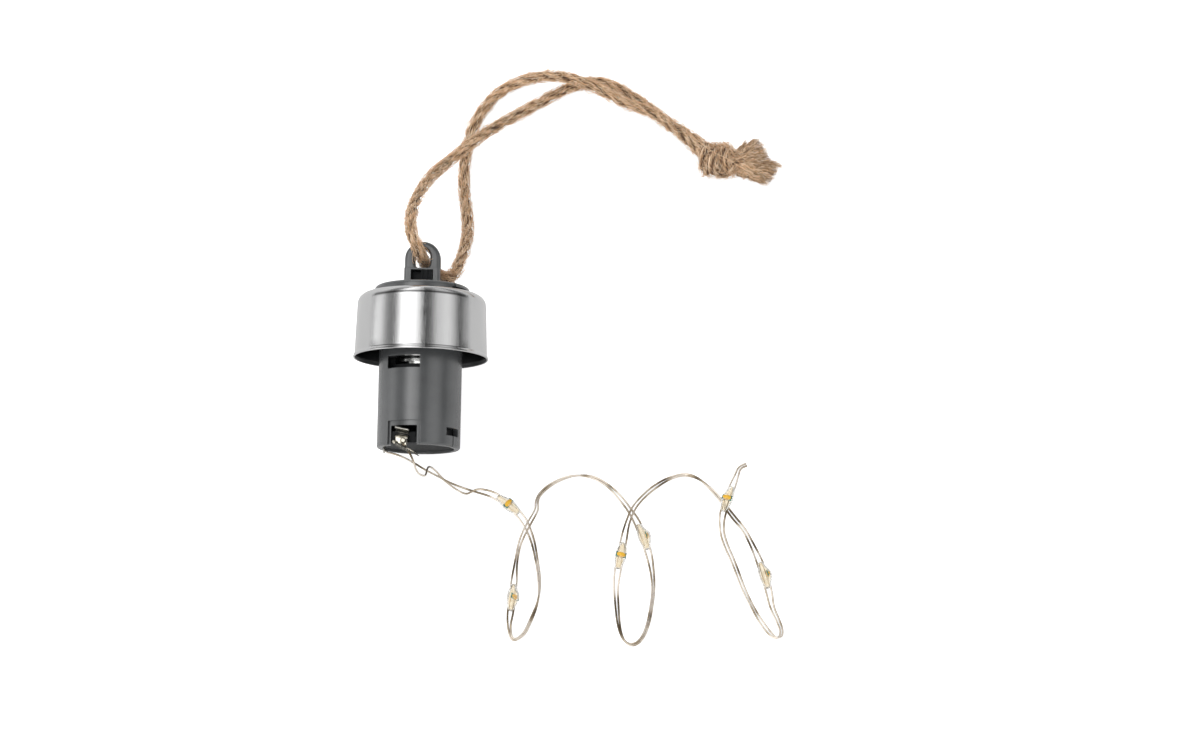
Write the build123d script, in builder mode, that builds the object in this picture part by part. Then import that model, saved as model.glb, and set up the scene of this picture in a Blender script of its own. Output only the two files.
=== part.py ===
from build123d import *
import math
import os

os.makedirs("parts", exist_ok=True)

# A stopper light for a bottle. Lengths are millimetres.
# The rigid pieces are made upright: +Z along the stopper's axis from its
# lower end to the hanger, and -Y towards the side that holds the clip.
# They are then laid down, as the light lies on a table.

# General
overrun = 2.0
slack = 0.1
slide_gap = 0.05
body_gap = 0.3
pick_band = 0.01

# Button cells
cell_r = 5.8
cell_h = 5.4
cell_count = 3
cell_fit = 0.1
cell_rim_w = 1.4
cell_lid_h = 0.5

# Metal cup over the bottle's mouth
cup_h = 14.3
cup_ledge_w = 3.7
cup_draft = 0.2
cup_flare = 0.5
cup_rim_h = 0.7
cup_flare_h = 2.6
cup_sheet = 0.4
cup_shoulder_fillet = 2.2
cup_flare_fillet = 1.6

# Housing that goes into the bottle's neck
housing_wall = 1.3
housing_reach = 20.2
base_edge = 0.5
lip_overhang = 0.5
lip_h = 0.4
peep_left = 6.75
peep_right = 0.5
peep_h = 2.75
peep_below_rim = 0.5
peep_depth = 6.0
clip_bay_left = 5.6
clip_bay_right = 0.15
clip_bay_depth = 4.7
bay_frame_w = 0.75
bay_frame_top = 1.1
bay_frame_depth = 0.35
latch_angle = 59.0
latch_window_w = 4.5
latch_window_h = 1.75
latch_window_z = 2.35
latch_slit_w = 0.35

# Hanger cap
disc_skirt_w = 0.6
disc_h = 1.8
disc_edge = 0.9
web_h = 1.0
pry_angle = 56.0
pry_w = 5.0
pry_depth = 1.3
pry_slit_w = 0.5
pry_slit_angle = 47.0
lug_w = 8.0
lug_h = 10.35
lug_t = 3.2
lug_band = 1.75
lug_edge = 0.6
lug_round = 0.85
eye_round = 0.6
eye_w = 3.3
eye_h = 4.75
switch_house_h = 4.05
switch_house_t = 5.6
switch_house_back = 1.3
switch_slot_w = 4.9
switch_slot_h = 3.35
switch_sill = 0.3

# Slide switch
knob_w = 2.5
knob_depth = 1.95
knob_proud = 0.25
knob_end_gap = 0.1
knob_rib_w = 0.35
knob_rib_count = 3
pin_w = 0.6
pin_t = 0.3

# Cell tray and its contacts
tray_floor_h = 1.2
tray_wall = 1.7
tray_mouth_y = 2.5
tray_rib_count = 3
tray_rib_angle = 90
tray_rib_w = 1.0
tray_rib_gap = 0.1
stake_count = 4
stake_angle = 45
stake_r = 0.6
stake_h = 0.5
contact_t = 0.3
stack_to_web = 0.8
end_plate_inset = 0.4
end_rivet_r = 1.0
end_button_inset = 0.9
cell_plate_w = 4.4
cell_plate_start = 0.4
wiper_start = 0.9
wiper_w = 2.0
wiper_gap = 0.25
wiper_leg_h = 6.0

# Rail contact and clip contact in the housing
rail_gap = 0.15
rail_w = 2.0
rail_top_gap = 1.2
rail_foot = 0.9
clip_x = 3.25
clip_w = 2.8
clip_bend = 0.45
clip_fold_h = 2.55
clip_fold_shares = [0.9, 0.7, 0.2]
clip_tip_gap = 0.15
clip_spring_shares = [(0.25, 1.0), (0.75, 0.96), (0.8, 0.5)]

# Plug that closes the housing's lower end
plug_inset = 0.5
plug_h = 1.1
plug_post_h = 1.3
plug_post_t = 1.0
plug_post_inset = 0.7
latch_arm_t = 0.8
latch_arm_w = 3.6
latch_hook = 0.1
latch_hook_h = 1.4

# Solder
solder_r = 0.65
solder_h = 0.45
solder_taper = 30

# Fairy lights
wire_d = 0.45
bead_len = 6.0
bead_r = 1.4
bead_end_r = 0.72
chip_l = 1.6
chip_w = 0.9
chip_t = 0.4
chip_lift = 0.3
chip_side_lift = 0.82
chip_side_angle = 45

# Cords: how much of its shorter run a corner's arc takes at most
corner_share = 0.45

# Jute
jute_d = 2.5
knot_r = 4.2
knot_half_len = 4.5

# Radii from the cells outwards, worked out from the sizes above
cell_lid_r = cell_r - cell_rim_w
tray_in_r = cell_r + cell_fit
tray_r = tray_in_r + tray_wall
bore_r = tray_r + body_gap
housing_r = bore_r + housing_wall
lip_r = housing_r + lip_overhang
disc_r = lip_r + body_gap + disc_skirt_w
cup_shoulder_r = disc_r + cup_ledge_w
cup_skirt_r = cup_shoulder_r + cup_draft
cup_rim_r = cup_skirt_r + cup_flare
end_plate_r = cell_lid_r - end_plate_inset
end_button_r = tray_in_r - end_button_inset
rail_x = bore_r - rail_gap
wiper_x = rail_x - contact_t - wiper_gap
post_face = bore_r - plug_post_inset

# Heights along the axis
rim_z = housing_reach
cup_top_z = rim_z + cup_h
disc_z = cup_top_z + disc_h
web_z = disc_z - web_h
lug_z = disc_z + lug_h
eye_z = lug_z - lug_band - eye_h / 2
stack_top_z = web_z - stack_to_web
stack_z = stack_top_z - cell_count * cell_h
tray_floor_z = stack_z - contact_t
tray_z = tray_floor_z - tray_floor_h
plug_top_z = plug_inset + plug_h
clip_bay_h = plug_top_z + clip_fold_h
switch_front = switch_house_t / 2
switch_back = switch_front - switch_house_back
slot_z = disc_z + switch_sill
slot_mid_z = slot_z + switch_slot_h / 2
switch_face = switch_front - knob_depth
knob_x = (switch_slot_w - knob_w) / 2 - knob_end_gap

pieces = {}


def facing(angle, distance):
    """An upright plane that faces outwards, angle to the right of the front."""
    turn = math.radians(angle)
    out = Vector(math.sin(turn), -math.cos(turn), 0)
    across = Vector(math.cos(turn), math.sin(turn), 0)
    return Plane(out * distance, x_dir=across, z_dir=out)


# Metal cup
def cup_skin(inset):
    """Solid body of revolution of the cup, moved inwards by inset."""
    with BuildPart() as skin:
        with BuildSketch(Plane.XZ):
            with BuildLine():
                Polyline(
                    (0, rim_z),
                    (cup_rim_r - inset, rim_z),
                    (cup_rim_r - inset, rim_z + cup_rim_h),
                    (cup_skirt_r - inset, rim_z + cup_flare_h),
                    (cup_shoulder_r - inset, cup_top_z - inset),
                    (0, cup_top_z - inset),
                    close=True,
                )
            face = make_face()
            corners = face.vertices().sort_by(Axis.X)
            fillet(corners[-3], cup_flare_fillet)
            shoulder = vertices().filter_by_position(
                Axis.X,
                cup_shoulder_r - inset - pick_band,
                cup_shoulder_r - inset + pick_band,
            )
            fillet(shoulder, cup_shoulder_fillet - inset)
        revolve(axis=Axis.Z)
    return skin.part


with BuildPart() as metal_cup:
    add(cup_skin(0))
    add(cup_skin(cup_sheet), mode=Mode.SUBTRACT)
    with BuildSketch(Plane.XY.offset(cup_top_z + overrun)):
        Circle(housing_r + slide_gap)
    extrude(amount=-2 * overrun - cup_sheet, mode=Mode.SUBTRACT)
pieces["metal_cup"] = metal_cup


# Shallow frame round the bay of the clip contact, on the housing's outside
with BuildPart() as bay_frame:
    with BuildSketch(Plane.XZ.offset(housing_r + overrun)):
        frame_w = clip_bay_left + clip_bay_right + 2 * bay_frame_w
        frame_h = clip_bay_h + bay_frame_top + overrun
        with Locations(((clip_bay_right - clip_bay_left) / 2, frame_h / 2 - overrun)):
            Rectangle(frame_w, frame_h)
    extrude(amount=-housing_r - overrun)
    with BuildSketch(Plane.XY.offset(-overrun)):
        Circle(housing_r - bay_frame_depth)
    extrude(amount=frame_h, mode=Mode.SUBTRACT)


# Housing: a tube through the cup's top, with a lip that lies on the sheet
with BuildPart() as housing_shell:
    with BuildSketch(Plane.XY):
        Circle(housing_r)
    extrude(amount=cup_top_z)
    fillet(housing_shell.edges().group_by(Axis.Z)[0], base_edge)
    with BuildSketch(Plane.XY.offset(cup_top_z)):
        Circle(lip_r)
    extrude(amount=lip_h)
    with BuildSketch(Plane.XY.offset(-overrun)):
        Circle(bore_r)
    extrude(amount=cup_top_z + lip_h + 2 * overrun, mode=Mode.SUBTRACT)
    # The window through which a cell shows
    with BuildSketch(Plane.XZ.offset(housing_r + overrun)):
        with Locations(((peep_right - peep_left) / 2, rim_z - peep_below_rim - peep_h / 2)):
            Rectangle(peep_left + peep_right, peep_h)
    extrude(amount=-peep_depth - overrun, mode=Mode.SUBTRACT)
    # The bay that the clip contact stands in, open below
    with BuildSketch(Plane.XZ.offset(housing_r + overrun)):
        with Locations(((clip_bay_right - clip_bay_left) / 2, clip_bay_h / 2 - overrun / 2)):
            Rectangle(clip_bay_left + clip_bay_right, clip_bay_h + overrun)
    extrude(amount=-clip_bay_depth - overrun, mode=Mode.SUBTRACT)
    add(bay_frame.part, mode=Mode.SUBTRACT)
    # The latch window and the slit below it
    with BuildSketch(facing(latch_angle, housing_r + overrun)):
        with Locations((0, latch_window_z + latch_window_h / 2)):
            Rectangle(latch_window_w, latch_window_h)
        with Locations((0, latch_window_z / 2 - overrun / 2)):
            Rectangle(latch_slit_w, latch_window_z + overrun)
    extrude(amount=-2 * housing_wall - overrun, mode=Mode.SUBTRACT)
pieces["housing_shell"] = housing_shell


# Lug: a rounded band round its eye, down to the disc
with BuildPart() as lug:
    with BuildSketch(Plane.XZ.offset(-lug_t / 2)):
        with Locations((0, disc_z - web_h / 2 + (lug_h - lug_w / 2 + web_h / 2) / 2)):
            Rectangle(lug_w, lug_h - lug_w / 2 + web_h / 2)
        with Locations((0, lug_z - lug_w / 2)):
            Circle(lug_w / 2)
    extrude(amount=lug_t)
    outline = lug.faces().filter_by(Axis.Y).edges()
    fillet(outline.filter_by_position(Axis.Z, disc_z, lug_z), lug_round)
    with BuildSketch(Plane.XZ.offset(-lug_t)):
        with Locations((0, eye_z)):
            SlotCenterToCenter(eye_h - eye_w, eye_w, rotation=90)
    extrude(amount=2 * lug_t, mode=Mode.SUBTRACT)
    eye = lug.faces().filter_by(Axis.Y).edges().filter_by_position(
        Axis.Z, eye_z - eye_h / 2, eye_z + eye_h / 2
    )
    fillet(eye.filter_by_position(Axis.X, -eye_w / 2, eye_w / 2), eye_round)


# Hanger cap: disc, lug with its eye, and the house of the switch
with BuildPart() as hanger_cap:
    with BuildSketch(Plane.XY.offset(cup_top_z)):
        Circle(disc_r)
    extrude(amount=disc_h)
    fillet(hanger_cap.edges().group_by(Axis.Z)[-1], disc_edge)
    with BuildSketch(Plane.XY.offset(cup_top_z)):
        Circle(lip_r + body_gap)
    extrude(amount=disc_h - web_h, mode=Mode.SUBTRACT)
    # Notch for a fingernail under the disc's edge
    with BuildSketch(facing(pry_angle, disc_r + overrun)):
        with Locations((0, cup_top_z + (disc_h - web_h) / 2)):
            Rectangle(pry_w, disc_h - web_h)
    extrude(amount=-pry_depth - overrun, mode=Mode.SUBTRACT)
    # Slit beside the notch, through the disc's rim
    with BuildSketch(facing(pry_slit_angle, disc_r + overrun)):
        with Locations((0, cup_top_z + disc_h / 2)):
            Rectangle(pry_slit_w, disc_h)
    extrude(amount=-pry_depth - overrun, mode=Mode.SUBTRACT)
    add(lug.part)
    # Switch house in front of and behind the lug's foot
    with BuildSketch(Plane.XY.offset(disc_z - web_h / 2)):
        RectangleRounded(lug_w, switch_house_t, lug_edge)
    extrude(amount=switch_house_h + web_h / 2)
    with BuildSketch(Plane.XZ.offset(-switch_back)):
        with Locations((0, (web_z - overrun + slot_z + switch_slot_h) / 2)):
            Rectangle(switch_slot_w, slot_z + switch_slot_h - web_z + overrun)
    extrude(amount=switch_back + switch_face + knob_depth / 2, mode=Mode.SUBTRACT)
    with BuildSketch(Plane.XZ.offset(0)):
        with Locations((0, slot_mid_z)):
            Rectangle(switch_slot_w, switch_slot_h)
    extrude(amount=switch_front + overrun, mode=Mode.SUBTRACT)
    # Blind holes for the tray's stakes
    with BuildSketch(Plane.XY.offset(web_z)):
        with PolarLocations((tray_in_r + tray_r) / 2, stake_count, start_angle=stake_angle):
            Circle(stake_r + slide_gap)
    extrude(amount=stake_h + slide_gap, mode=Mode.SUBTRACT)
pieces["hanger_cap"] = hanger_cap


# Cell tray: an open cradle that hangs from the cap
with BuildPart() as cell_tray:
    with BuildSketch(Plane.XY.offset(tray_z)):
        Circle(tray_r)
        with PolarLocations(tray_r / 2, tray_rib_count, start_angle=tray_rib_angle):
            Rectangle(tray_r + 2 * (body_gap - tray_rib_gap), tray_rib_w)
    extrude(amount=web_z - tray_z)
    with BuildSketch(Plane.XY.offset(tray_floor_z)):
        Circle(tray_in_r)
    extrude(amount=web_z - tray_floor_z, mode=Mode.SUBTRACT)
    with BuildSketch(Plane.XY.offset(tray_floor_z)):
        with Locations((0, -tray_mouth_y - housing_r / 2)):
            Rectangle(2 * housing_r, housing_r)
    extrude(amount=stack_top_z - tray_floor_z, mode=Mode.SUBTRACT)
    with BuildSketch(Plane.XY.offset(tray_z)):
        Circle(end_rivet_r + slide_gap)
        with Locations((-wiper_x - housing_r / 2, 0)):
            Rectangle(housing_r, rail_w + 2 * body_gap)
    extrude(amount=web_z - tray_z, mode=Mode.SUBTRACT)
    # Gap in the wall for the wiper's leg
    with BuildSketch(Plane.XY.offset(web_z)):
        with Locations((-tray_r, 0)):
            Rectangle(2 * tray_wall + body_gap, wiper_w + 2 * body_gap)
    extrude(amount=-wiper_leg_h - stack_to_web, mode=Mode.SUBTRACT)
    with BuildSketch(Plane.XY.offset(web_z)):
        with PolarLocations((tray_in_r + tray_r) / 2, stake_count, start_angle=stake_angle):
            Circle(stake_r)
    extrude(amount=stake_h)
pieces["cell_tray"] = cell_tray


# Button cells, the narrower lid of each one below
for number in range(cell_count):
    foot = stack_z + number * cell_h
    with BuildPart() as cell:
        with BuildSketch(Plane.XY.offset(foot + cell_lid_h)):
            Circle(cell_r)
        extrude(amount=cell_h - cell_lid_h)
        with BuildSketch(Plane.XY.offset(foot)):
            Circle(cell_lid_r)
        extrude(amount=cell_lid_h)
        fillet(cell.edges().group_by(Axis.Z)[-1], cell_lid_h)
    pieces[f"cell_{number + 1}"] = cell


# Contacts of the tray
with BuildPart() as tray_end_contact:
    with BuildSketch(Plane.XY.offset(tray_floor_z)):
        Circle(end_plate_r)
    extrude(amount=contact_t)
    with BuildSketch(Plane.XY.offset(tray_z)):
        Circle(end_rivet_r)
    extrude(amount=tray_floor_h)
    with BuildSketch(Plane.XY.offset(tray_z)):
        Circle(end_button_r)
    extrude(amount=-contact_t)
pieces["tray_end_contact"] = tray_end_contact

with BuildPart() as cell_plate:
    with BuildSketch(Plane.XY.offset(stack_top_z)):
        with Locations((cell_plate_start + cell_plate_w / 2, 0)):
            RectangleRounded(cell_plate_w, cell_plate_w, lug_edge)
    extrude(amount=contact_t)
pieces["cell_plate"] = cell_plate

wiper_z = web_z - contact_t
with BuildPart() as wiper_contact:
    with BuildSketch(Plane.XY.offset(wiper_z)):
        with Locations((-(wiper_x + wiper_start) / 2, 0)):
            Rectangle(wiper_x - wiper_start, wiper_w)
    extrude(amount=contact_t - slack)
    with BuildSketch(Plane.XY.offset(wiper_z)):
        with Locations((-wiper_x + contact_t / 2, 0)):
            Rectangle(contact_t, wiper_w)
    extrude(amount=-wiper_leg_h)
pieces["wiper_contact"] = wiper_contact


# Slide switch: body, its two pins and the knob in the slot
with BuildPart() as switch_body:
    with BuildSketch(Plane.XZ.offset(-switch_back)):
        with Locations((0, (web_z + slot_z + switch_slot_h - slack) / 2)):
            Rectangle(switch_slot_w - 2 * slack, slot_z + switch_slot_h - slack - web_z)
    extrude(amount=switch_back + switch_face - slide_gap)
pieces["switch_body"] = switch_body

with BuildPart() as switch_pins:
    plate_top = stack_top_z + contact_t
    with BuildSketch(Plane.XY.offset(plate_top)):
        with Locations((cell_plate_start + pin_w, 0)):
            Rectangle(pin_w, pin_t)
    extrude(amount=web_z - plate_top)
    with BuildSketch(Plane.XY.offset(web_z - slack)):
        with Locations((-wiper_start - pin_w, 0)):
            Rectangle(pin_w, pin_t)
    extrude(amount=slack)
pieces["switch_pins"] = switch_pins

with BuildPart() as switch_knob:
    with BuildSketch(Plane.XZ.offset(switch_face)):
        with Locations((knob_x, slot_mid_z)):
            Rectangle(knob_w, switch_slot_h - 2 * slack)
    extrude(amount=knob_depth + knob_proud - knob_rib_w)
    rib_pitch = (knob_w - knob_rib_w) / (knob_rib_count - 1)
    with BuildSketch(Plane.XZ.offset(switch_front + knob_proud - knob_rib_w)):
        with Locations((knob_x, slot_mid_z)):
            with GridLocations(rib_pitch, slack, knob_rib_count, 1):
                Rectangle(knob_rib_w, switch_slot_h - 2 * slack)
    extrude(amount=knob_rib_w)
pieces["switch_knob"] = switch_knob


# Rail contact along the housing's bore
with BuildPart() as rail_contact:
    with BuildSketch(Plane.XY.offset(-rail_foot)):
        with Locations((-rail_x + contact_t / 2, 0)):
            Rectangle(contact_t, rail_w)
    extrude(amount=rail_foot + cup_top_z - rail_top_gap)
pieces["rail_contact"] = rail_contact


# Clip contact: one bent strip, its spring end under the tray's button
button_z = tray_z - contact_t
tip_z = button_z - clip_tip_gap - contact_t / 2
clip_outer = housing_r - contact_t
wall_y = math.sqrt(bore_r**2 - (clip_x + clip_w / 2) ** 2)
leg_y = wall_y - body_gap - contact_t
clip_route = [(-leg_y * out, tip_z * up) for out, up in clip_spring_shares]
fold_top, fold_out, fold_in = [plug_top_z + clip_fold_h * up for up in clip_fold_shares]
clip_route += [
    (-leg_y, fold_top),
    (-clip_outer + contact_t, fold_out),
    (-post_face - contact_t / 2, fold_in),
    (-clip_outer + contact_t / 2, plug_top_z - latch_hook / 2),
    (-clip_outer, -contact_t),
]
with BuildPart() as clip_contact:
    with BuildSketch(Plane.YZ.offset(-clip_x - clip_w / 2)):
        with BuildLine():
            FilletPolyline(*clip_route, radius=clip_bend)
        trace(line_width=contact_t)
    extrude(amount=clip_w)
pieces["clip_contact"] = clip_contact


# Plug with a post behind the clip and a latch in the window
with BuildPart() as base_plug:
    with BuildSketch(Plane.XY.offset(plug_inset)):
        Circle(bore_r - slide_gap)
        bay_mid = (clip_bay_right - clip_bay_left) / 2
        bay_w = clip_bay_left + clip_bay_right - 2 * body_gap
        with Locations((bay_mid, -post_face)):
            Rectangle(bay_w, 2 * housing_wall, mode=Mode.SUBTRACT)
        with Locations((-bore_r, 0)):
            Rectangle(
                2 * (bore_r - rail_x + contact_t + slack),
                rail_w + 2 * slack,
                mode=Mode.SUBTRACT,
            )
    extrude(amount=plug_h)
    with BuildSketch(Plane.XY.offset(plug_inset)):
        with Locations((bay_mid, -post_face + plug_post_t / 2)):
            Rectangle(bay_w, plug_post_t)
    extrude(amount=plug_h + plug_post_h)
    with BuildSketch(Plane.XY.offset(plug_inset)):
        Circle(housing_r - slack)
    extrude(amount=housing_reach, mode=Mode.INTERSECT)
    arm_top = latch_window_z + latch_window_h - slack
    arm_face = bore_r - body_gap
    with BuildSketch(facing(latch_angle, arm_face - latch_arm_t)):
        with Locations((0, (plug_inset + arm_top) / 2)):
            Rectangle(latch_arm_w, arm_top - plug_inset)
    extrude(amount=latch_arm_t)
    with BuildSketch(facing(latch_angle, arm_face)):
        with Locations((0, arm_top - latch_hook_h / 2)):
            Rectangle(latch_arm_w, latch_hook_h)
    extrude(amount=latch_hook)
pieces["base_plug"] = base_plug


# Solder: one dome on the clip's tab, one on the rail's foot
with BuildPart() as solder_joints:
    tab_x = -clip_x + clip_w / 6
    tab_y = clip_outer + contact_t / 2
    with BuildSketch(Plane.XZ.offset(tab_y)):
        with Locations((tab_x, solder_r)):
            Circle(solder_r)
    extrude(amount=solder_h, taper=solder_taper)
    with BuildSketch(Plane.YZ.offset(-rail_x + contact_t)):
        with Locations((0, -rail_foot / 2)):
            Circle(rail_foot / 2)
    extrude(amount=solder_h, taper=solder_taper)
pieces["solder_joints"] = solder_joints


# Laying down: the rim of the cup and the housing's lower edge touch the table
run_out = cup_rim_r - housing_r + base_edge
run_up = rim_z - base_edge
lean = math.asin(base_edge / math.hypot(run_out, run_up))
tilt = math.degrees(math.atan2(run_out, run_up) - lean)
lay_down = Location((0, 0, 0), (-(90 - tilt), 0, 0))
laid = [piece.part.moved(lay_down).bounding_box() for piece in pieces.values()]
low_y = min(box.min.Y for box in laid)
high_y = max(box.max.Y for box in laid)
low_z = min(box.min.Z for box in laid)
rest = Location((0, -(low_y + high_y) / 2, -low_z)) * lay_down

for name, piece in pieces.items():
    piece.part.label = name
    export_step(piece.part.moved(rest), f"parts/{name}.step")


# Cords lie on the table. Each route is a list of places in millimetres,
# on the table, with +X to the right and +Y towards the hanger.
def corner_radii(route):
    """The arc at each inner point, as large as the two runs beside it allow."""
    radii = []
    for before, here, after in zip(route, route[1:], route[2:]):
        arriving = Vector(here) - Vector(before)
        leaving = Vector(after) - Vector(here)
        half_turn = math.radians(arriving.get_angle(leaving)) / 2
        shorter = min(arriving.length, leaving.length)
        radii.append(corner_share * shorter / math.tan(half_turn))
    return radii


def tube(route, diameter, title):
    """A round tube along straight runs that tangent arcs join."""
    radii = corner_radii(route)
    with BuildPart() as cord:
        with BuildLine() as path:
            FilletPolyline(*route, radius=radii)
        spine = path.wire()
        with BuildSketch(Plane(spine @ 0, z_dir=spine % 0)):
            Circle(diameter / 2)
        sweep(path=spine)
    expected = math.pi * diameter**2 / 4 * spine.length
    print(f"{title}: length {spine.length:.1f}, least radius {min(radii):.2f}")
    print(f"{title}: volume {cord.part.volume:.2f} of {expected:.2f}")
    return cord


# The middle of the two strands, and half the distance between them
pair_route = [
    (17.1, -28.7, 1.42, 0.45),
    (22.9, -33.3, 1.42, 0.45),
    (25.4, -38.4, 0.6, 0.4),
    (26.4, -43.0, 0.35, 0.35),
    (27.3, -48.3, 0.35, 0.4),
    (27.2, -53.3, 0.35, 0.35),
    (25.5, -58.0, 0.35, 0.4),
    (23.5, -61.6, 0.35, 0.4),
    (21.6, -61.8, 0.4, 0.35),
    (20.8, -59.7, 0.8, 0.4),
    (21.1, -56.4, 1.42, 0.45),
    (21.7, -49.6, 1.42, 0.45),
    (21.9, -45.0, 0.8, 0.35),
    (22.5, -40.8, 1.1, 0.35),
    (23.5, -38.0, 1.75, 0.4),
    (25.3, -34.3, 1.75, 0.4),
    (26.4, -31.7, 0.9, 0.35),
    (26.1, -29.4, 0.4, 0.35),
    (27.5, -27.0, 0.35, 0.4),
    (30.6, -24.6, 0.35, 0.45),
    (34.5, -23.2, 0.35, 0.4),
    (38.5, -23.4, 0.35, 0.35),
    (42.2, -25.6, 0.35, 0.4),
    (45.2, -29.0, 0.35, 0.45),
    (46.9, -31.5, 0.4, 0.4),
    (48.7, -34.9, 1.42, 0.45),
    (51.1, -41.6, 1.42, 0.45),
    (52.0, -46.0, 0.45, 0.35),
    (52.3, -50.3, 0.35, 0.4),
    (51.8, -54.7, 0.35, 0.35),
    (51.0, -59.0, 0.35, 0.4),
    (49.6, -62.2, 0.35, 0.45),
    (47.6, -63.4, 0.35, 0.45),
    (45.7, -62.2, 0.35, 0.4),
    (44.7, -58.8, 0.35, 0.4),
    (44.3, -54.3, 0.35, 0.35),
    (44.0, -50.3, 0.5, 0.4),
    (44.3, -46.5, 1.42, 0.45),
    (45.6, -39.2, 1.46, 0.45),
    (46.3, -35.4, 1.8, 0.4),
    (47.7, -31.5, 1.8, 0.4),
    (49.6, -28.6, 0.7, 0.35),
    (52.2, -25.9, 0.35, 0.4),
    (55.6, -23.6, 0.35, 0.45),
    (59.2, -22.5, 0.35, 0.4),
    (62.4, -23.6, 0.35, 0.35),
    (65.2, -26.3, 0.35, 0.4),
    (67.6, -29.3, 0.35, 0.45),
    (69.8, -32.7, 0.35, 0.4),
    (72.3, -35.7, 0.35, 0.35),
    (74.1, -39.6, 0.4, 0.4),
    (75.5, -43.5, 1.42, 0.45),
    (77.5, -50.4, 1.42, 0.45),
    (78.1, -54.0, 0.5, 0.4),
    (79.4, -56.9, 0.35, 0.35),
    (80.2, -59.2, 0.35, 0.3),
    (80.1, -60.6, 0.35, 0.3),
    (79.1, -61.3, 0.35, 0.3),
    (77.9, -60.4, 0.35, 0.35),
    (75.9, -57.7, 0.35, 0.4),
    (74.0, -54.2, 0.35, 0.4),
    (71.8, -49.4, 0.35, 0.35),
    (70.0, -43.8, 0.35, 0.35),
    (67.9, -39.0, 0.6, 0.4),
    (67.2, -36.0, 1.3, 0.4),
    (67.4, -32.5, 2.3, 0.45),
    (69.7, -26.1, 2.3, 0.45),
    (70.8, -22.8, 1.2, 0.35),
    (71.4, -20.7, 0.6, 0.3),
    (73.0, -20.1, 0.45, 0.3),
]
# From the solder on the rail's foot to where the strands meet
left_lead = [
    (-7.0, -21.9, 9.2),
    (-7.1, -23.4, 11.1),
    (-6.1, -24.7, 13.0),
    (-4.3, -24.8, 13.4),
    (-2.2, -24.9, 11.4),
    (-0.3, -24.7, 8.6),
    (1.4, -24.9, 6.2),
    (3.2, -24.9, 3.8),
    (5.2, -25.2, 1.8),
    (7.6, -26.0, 0.6),
    (12.3, -27.6, 0.45),
]
# From the solder on the clip's tab, through a small kink
right_lead = [
    (-2.8, -23.9, 17.7),
    (-1.7, -25.3, 16.7),
    (-0.8, -26.4, 14.5),
    (-0.3, -27.0, 11.8),
    (0.7, -27.1, 9.2),
    (2.0, -26.2, 7.2),
    (2.4, -24.6, 6.0),
    (3.5, -23.6, 4.8),
    (5.0, -24.4, 3.8),
    (6.5, -26.0, 2.6),
    (8.3, -27.6, 1.3),
    (10.6, -28.3, 1.0),
    (13.4, -27.3, 1.5),
]


def strand(lead, side):
    """A strand's whole route: its lead, then its side of the pair."""
    route = list(lead)
    for number, (x, y, z, spread) in enumerate(pair_route):
        before = pair_route[max(number - 1, 0)]
        after = pair_route[min(number + 1, len(pair_route) - 1)]
        along = Vector(after[0] - before[0], after[1] - before[1], 0).normalized()
        route.append((x - side * spread * along.Y, y + side * spread * along.X, z))
    return route


wire_left = tube(strand(left_lead, -1), wire_d, "wire_left")
wire_right = tube(strand(right_lead, 1), wire_d, "wire_right")


# Beads of clear resin on the pair, each with its chip.
# A bead is on the run that starts at this share of the pair's points,
# and its chip faces up, or to a side where the angle isn't zero.
bead_run_shares = [0, 0.145, 0.362, 0.536, 0.942, 0.739]
chip_angles = [0, -80, 75, 10, -15, 80]


def bead_plane(number, angle=0):
    """The plane in a bead's middle, its X along the strands, its Z at angle from up."""
    row = round(bead_run_shares[number] * (len(pair_route) - 1))
    start = Vector(*pair_route[row][:3])
    end = Vector(*pair_route[row + 1][:3])
    along = (end - start).normalized()
    across = Vector(0, 0, 1).cross(along).normalized()
    turn = math.radians(angle)
    face = along.cross(across) * math.cos(turn) - across * math.sin(turn)
    return Plane((start + end) / 2, x_dir=along, z_dir=face)


cord_pieces = {"wire_left": wire_left, "wire_right": wire_right}
for number in range(len(bead_run_shares)):
    middle = bead_plane(number)
    turned = bead_plane(number, chip_angles[number])
    lift = chip_side_lift if abs(chip_angles[number]) > chip_side_angle else chip_lift
    with BuildPart() as led_chip:
        with BuildSketch(turned.offset(lift)):
            Rectangle(chip_l, chip_w)
        extrude(amount=chip_t)
    with BuildPart() as led_bead:
        with BuildSketch(middle):
            with BuildLine():
                Line((-bead_len / 2, 0), (-bead_len / 2, bead_end_r))
                ThreePointArc(
                    (-bead_len / 2, bead_end_r), (0, bead_r), (bead_len / 2, bead_end_r)
                )
                Line((bead_len / 2, bead_end_r), (bead_len / 2, 0))
                Line((bead_len / 2, 0), (-bead_len / 2, 0))
            make_face()
        revolve(axis=Axis(middle.origin, middle.x_dir))
        add(led_chip.part, mode=Mode.SUBTRACT)
    cord_pieces[f"led_bead_{number + 1}"] = led_bead
    cord_pieces[f"led_chip_{number + 1}"] = led_chip


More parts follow.
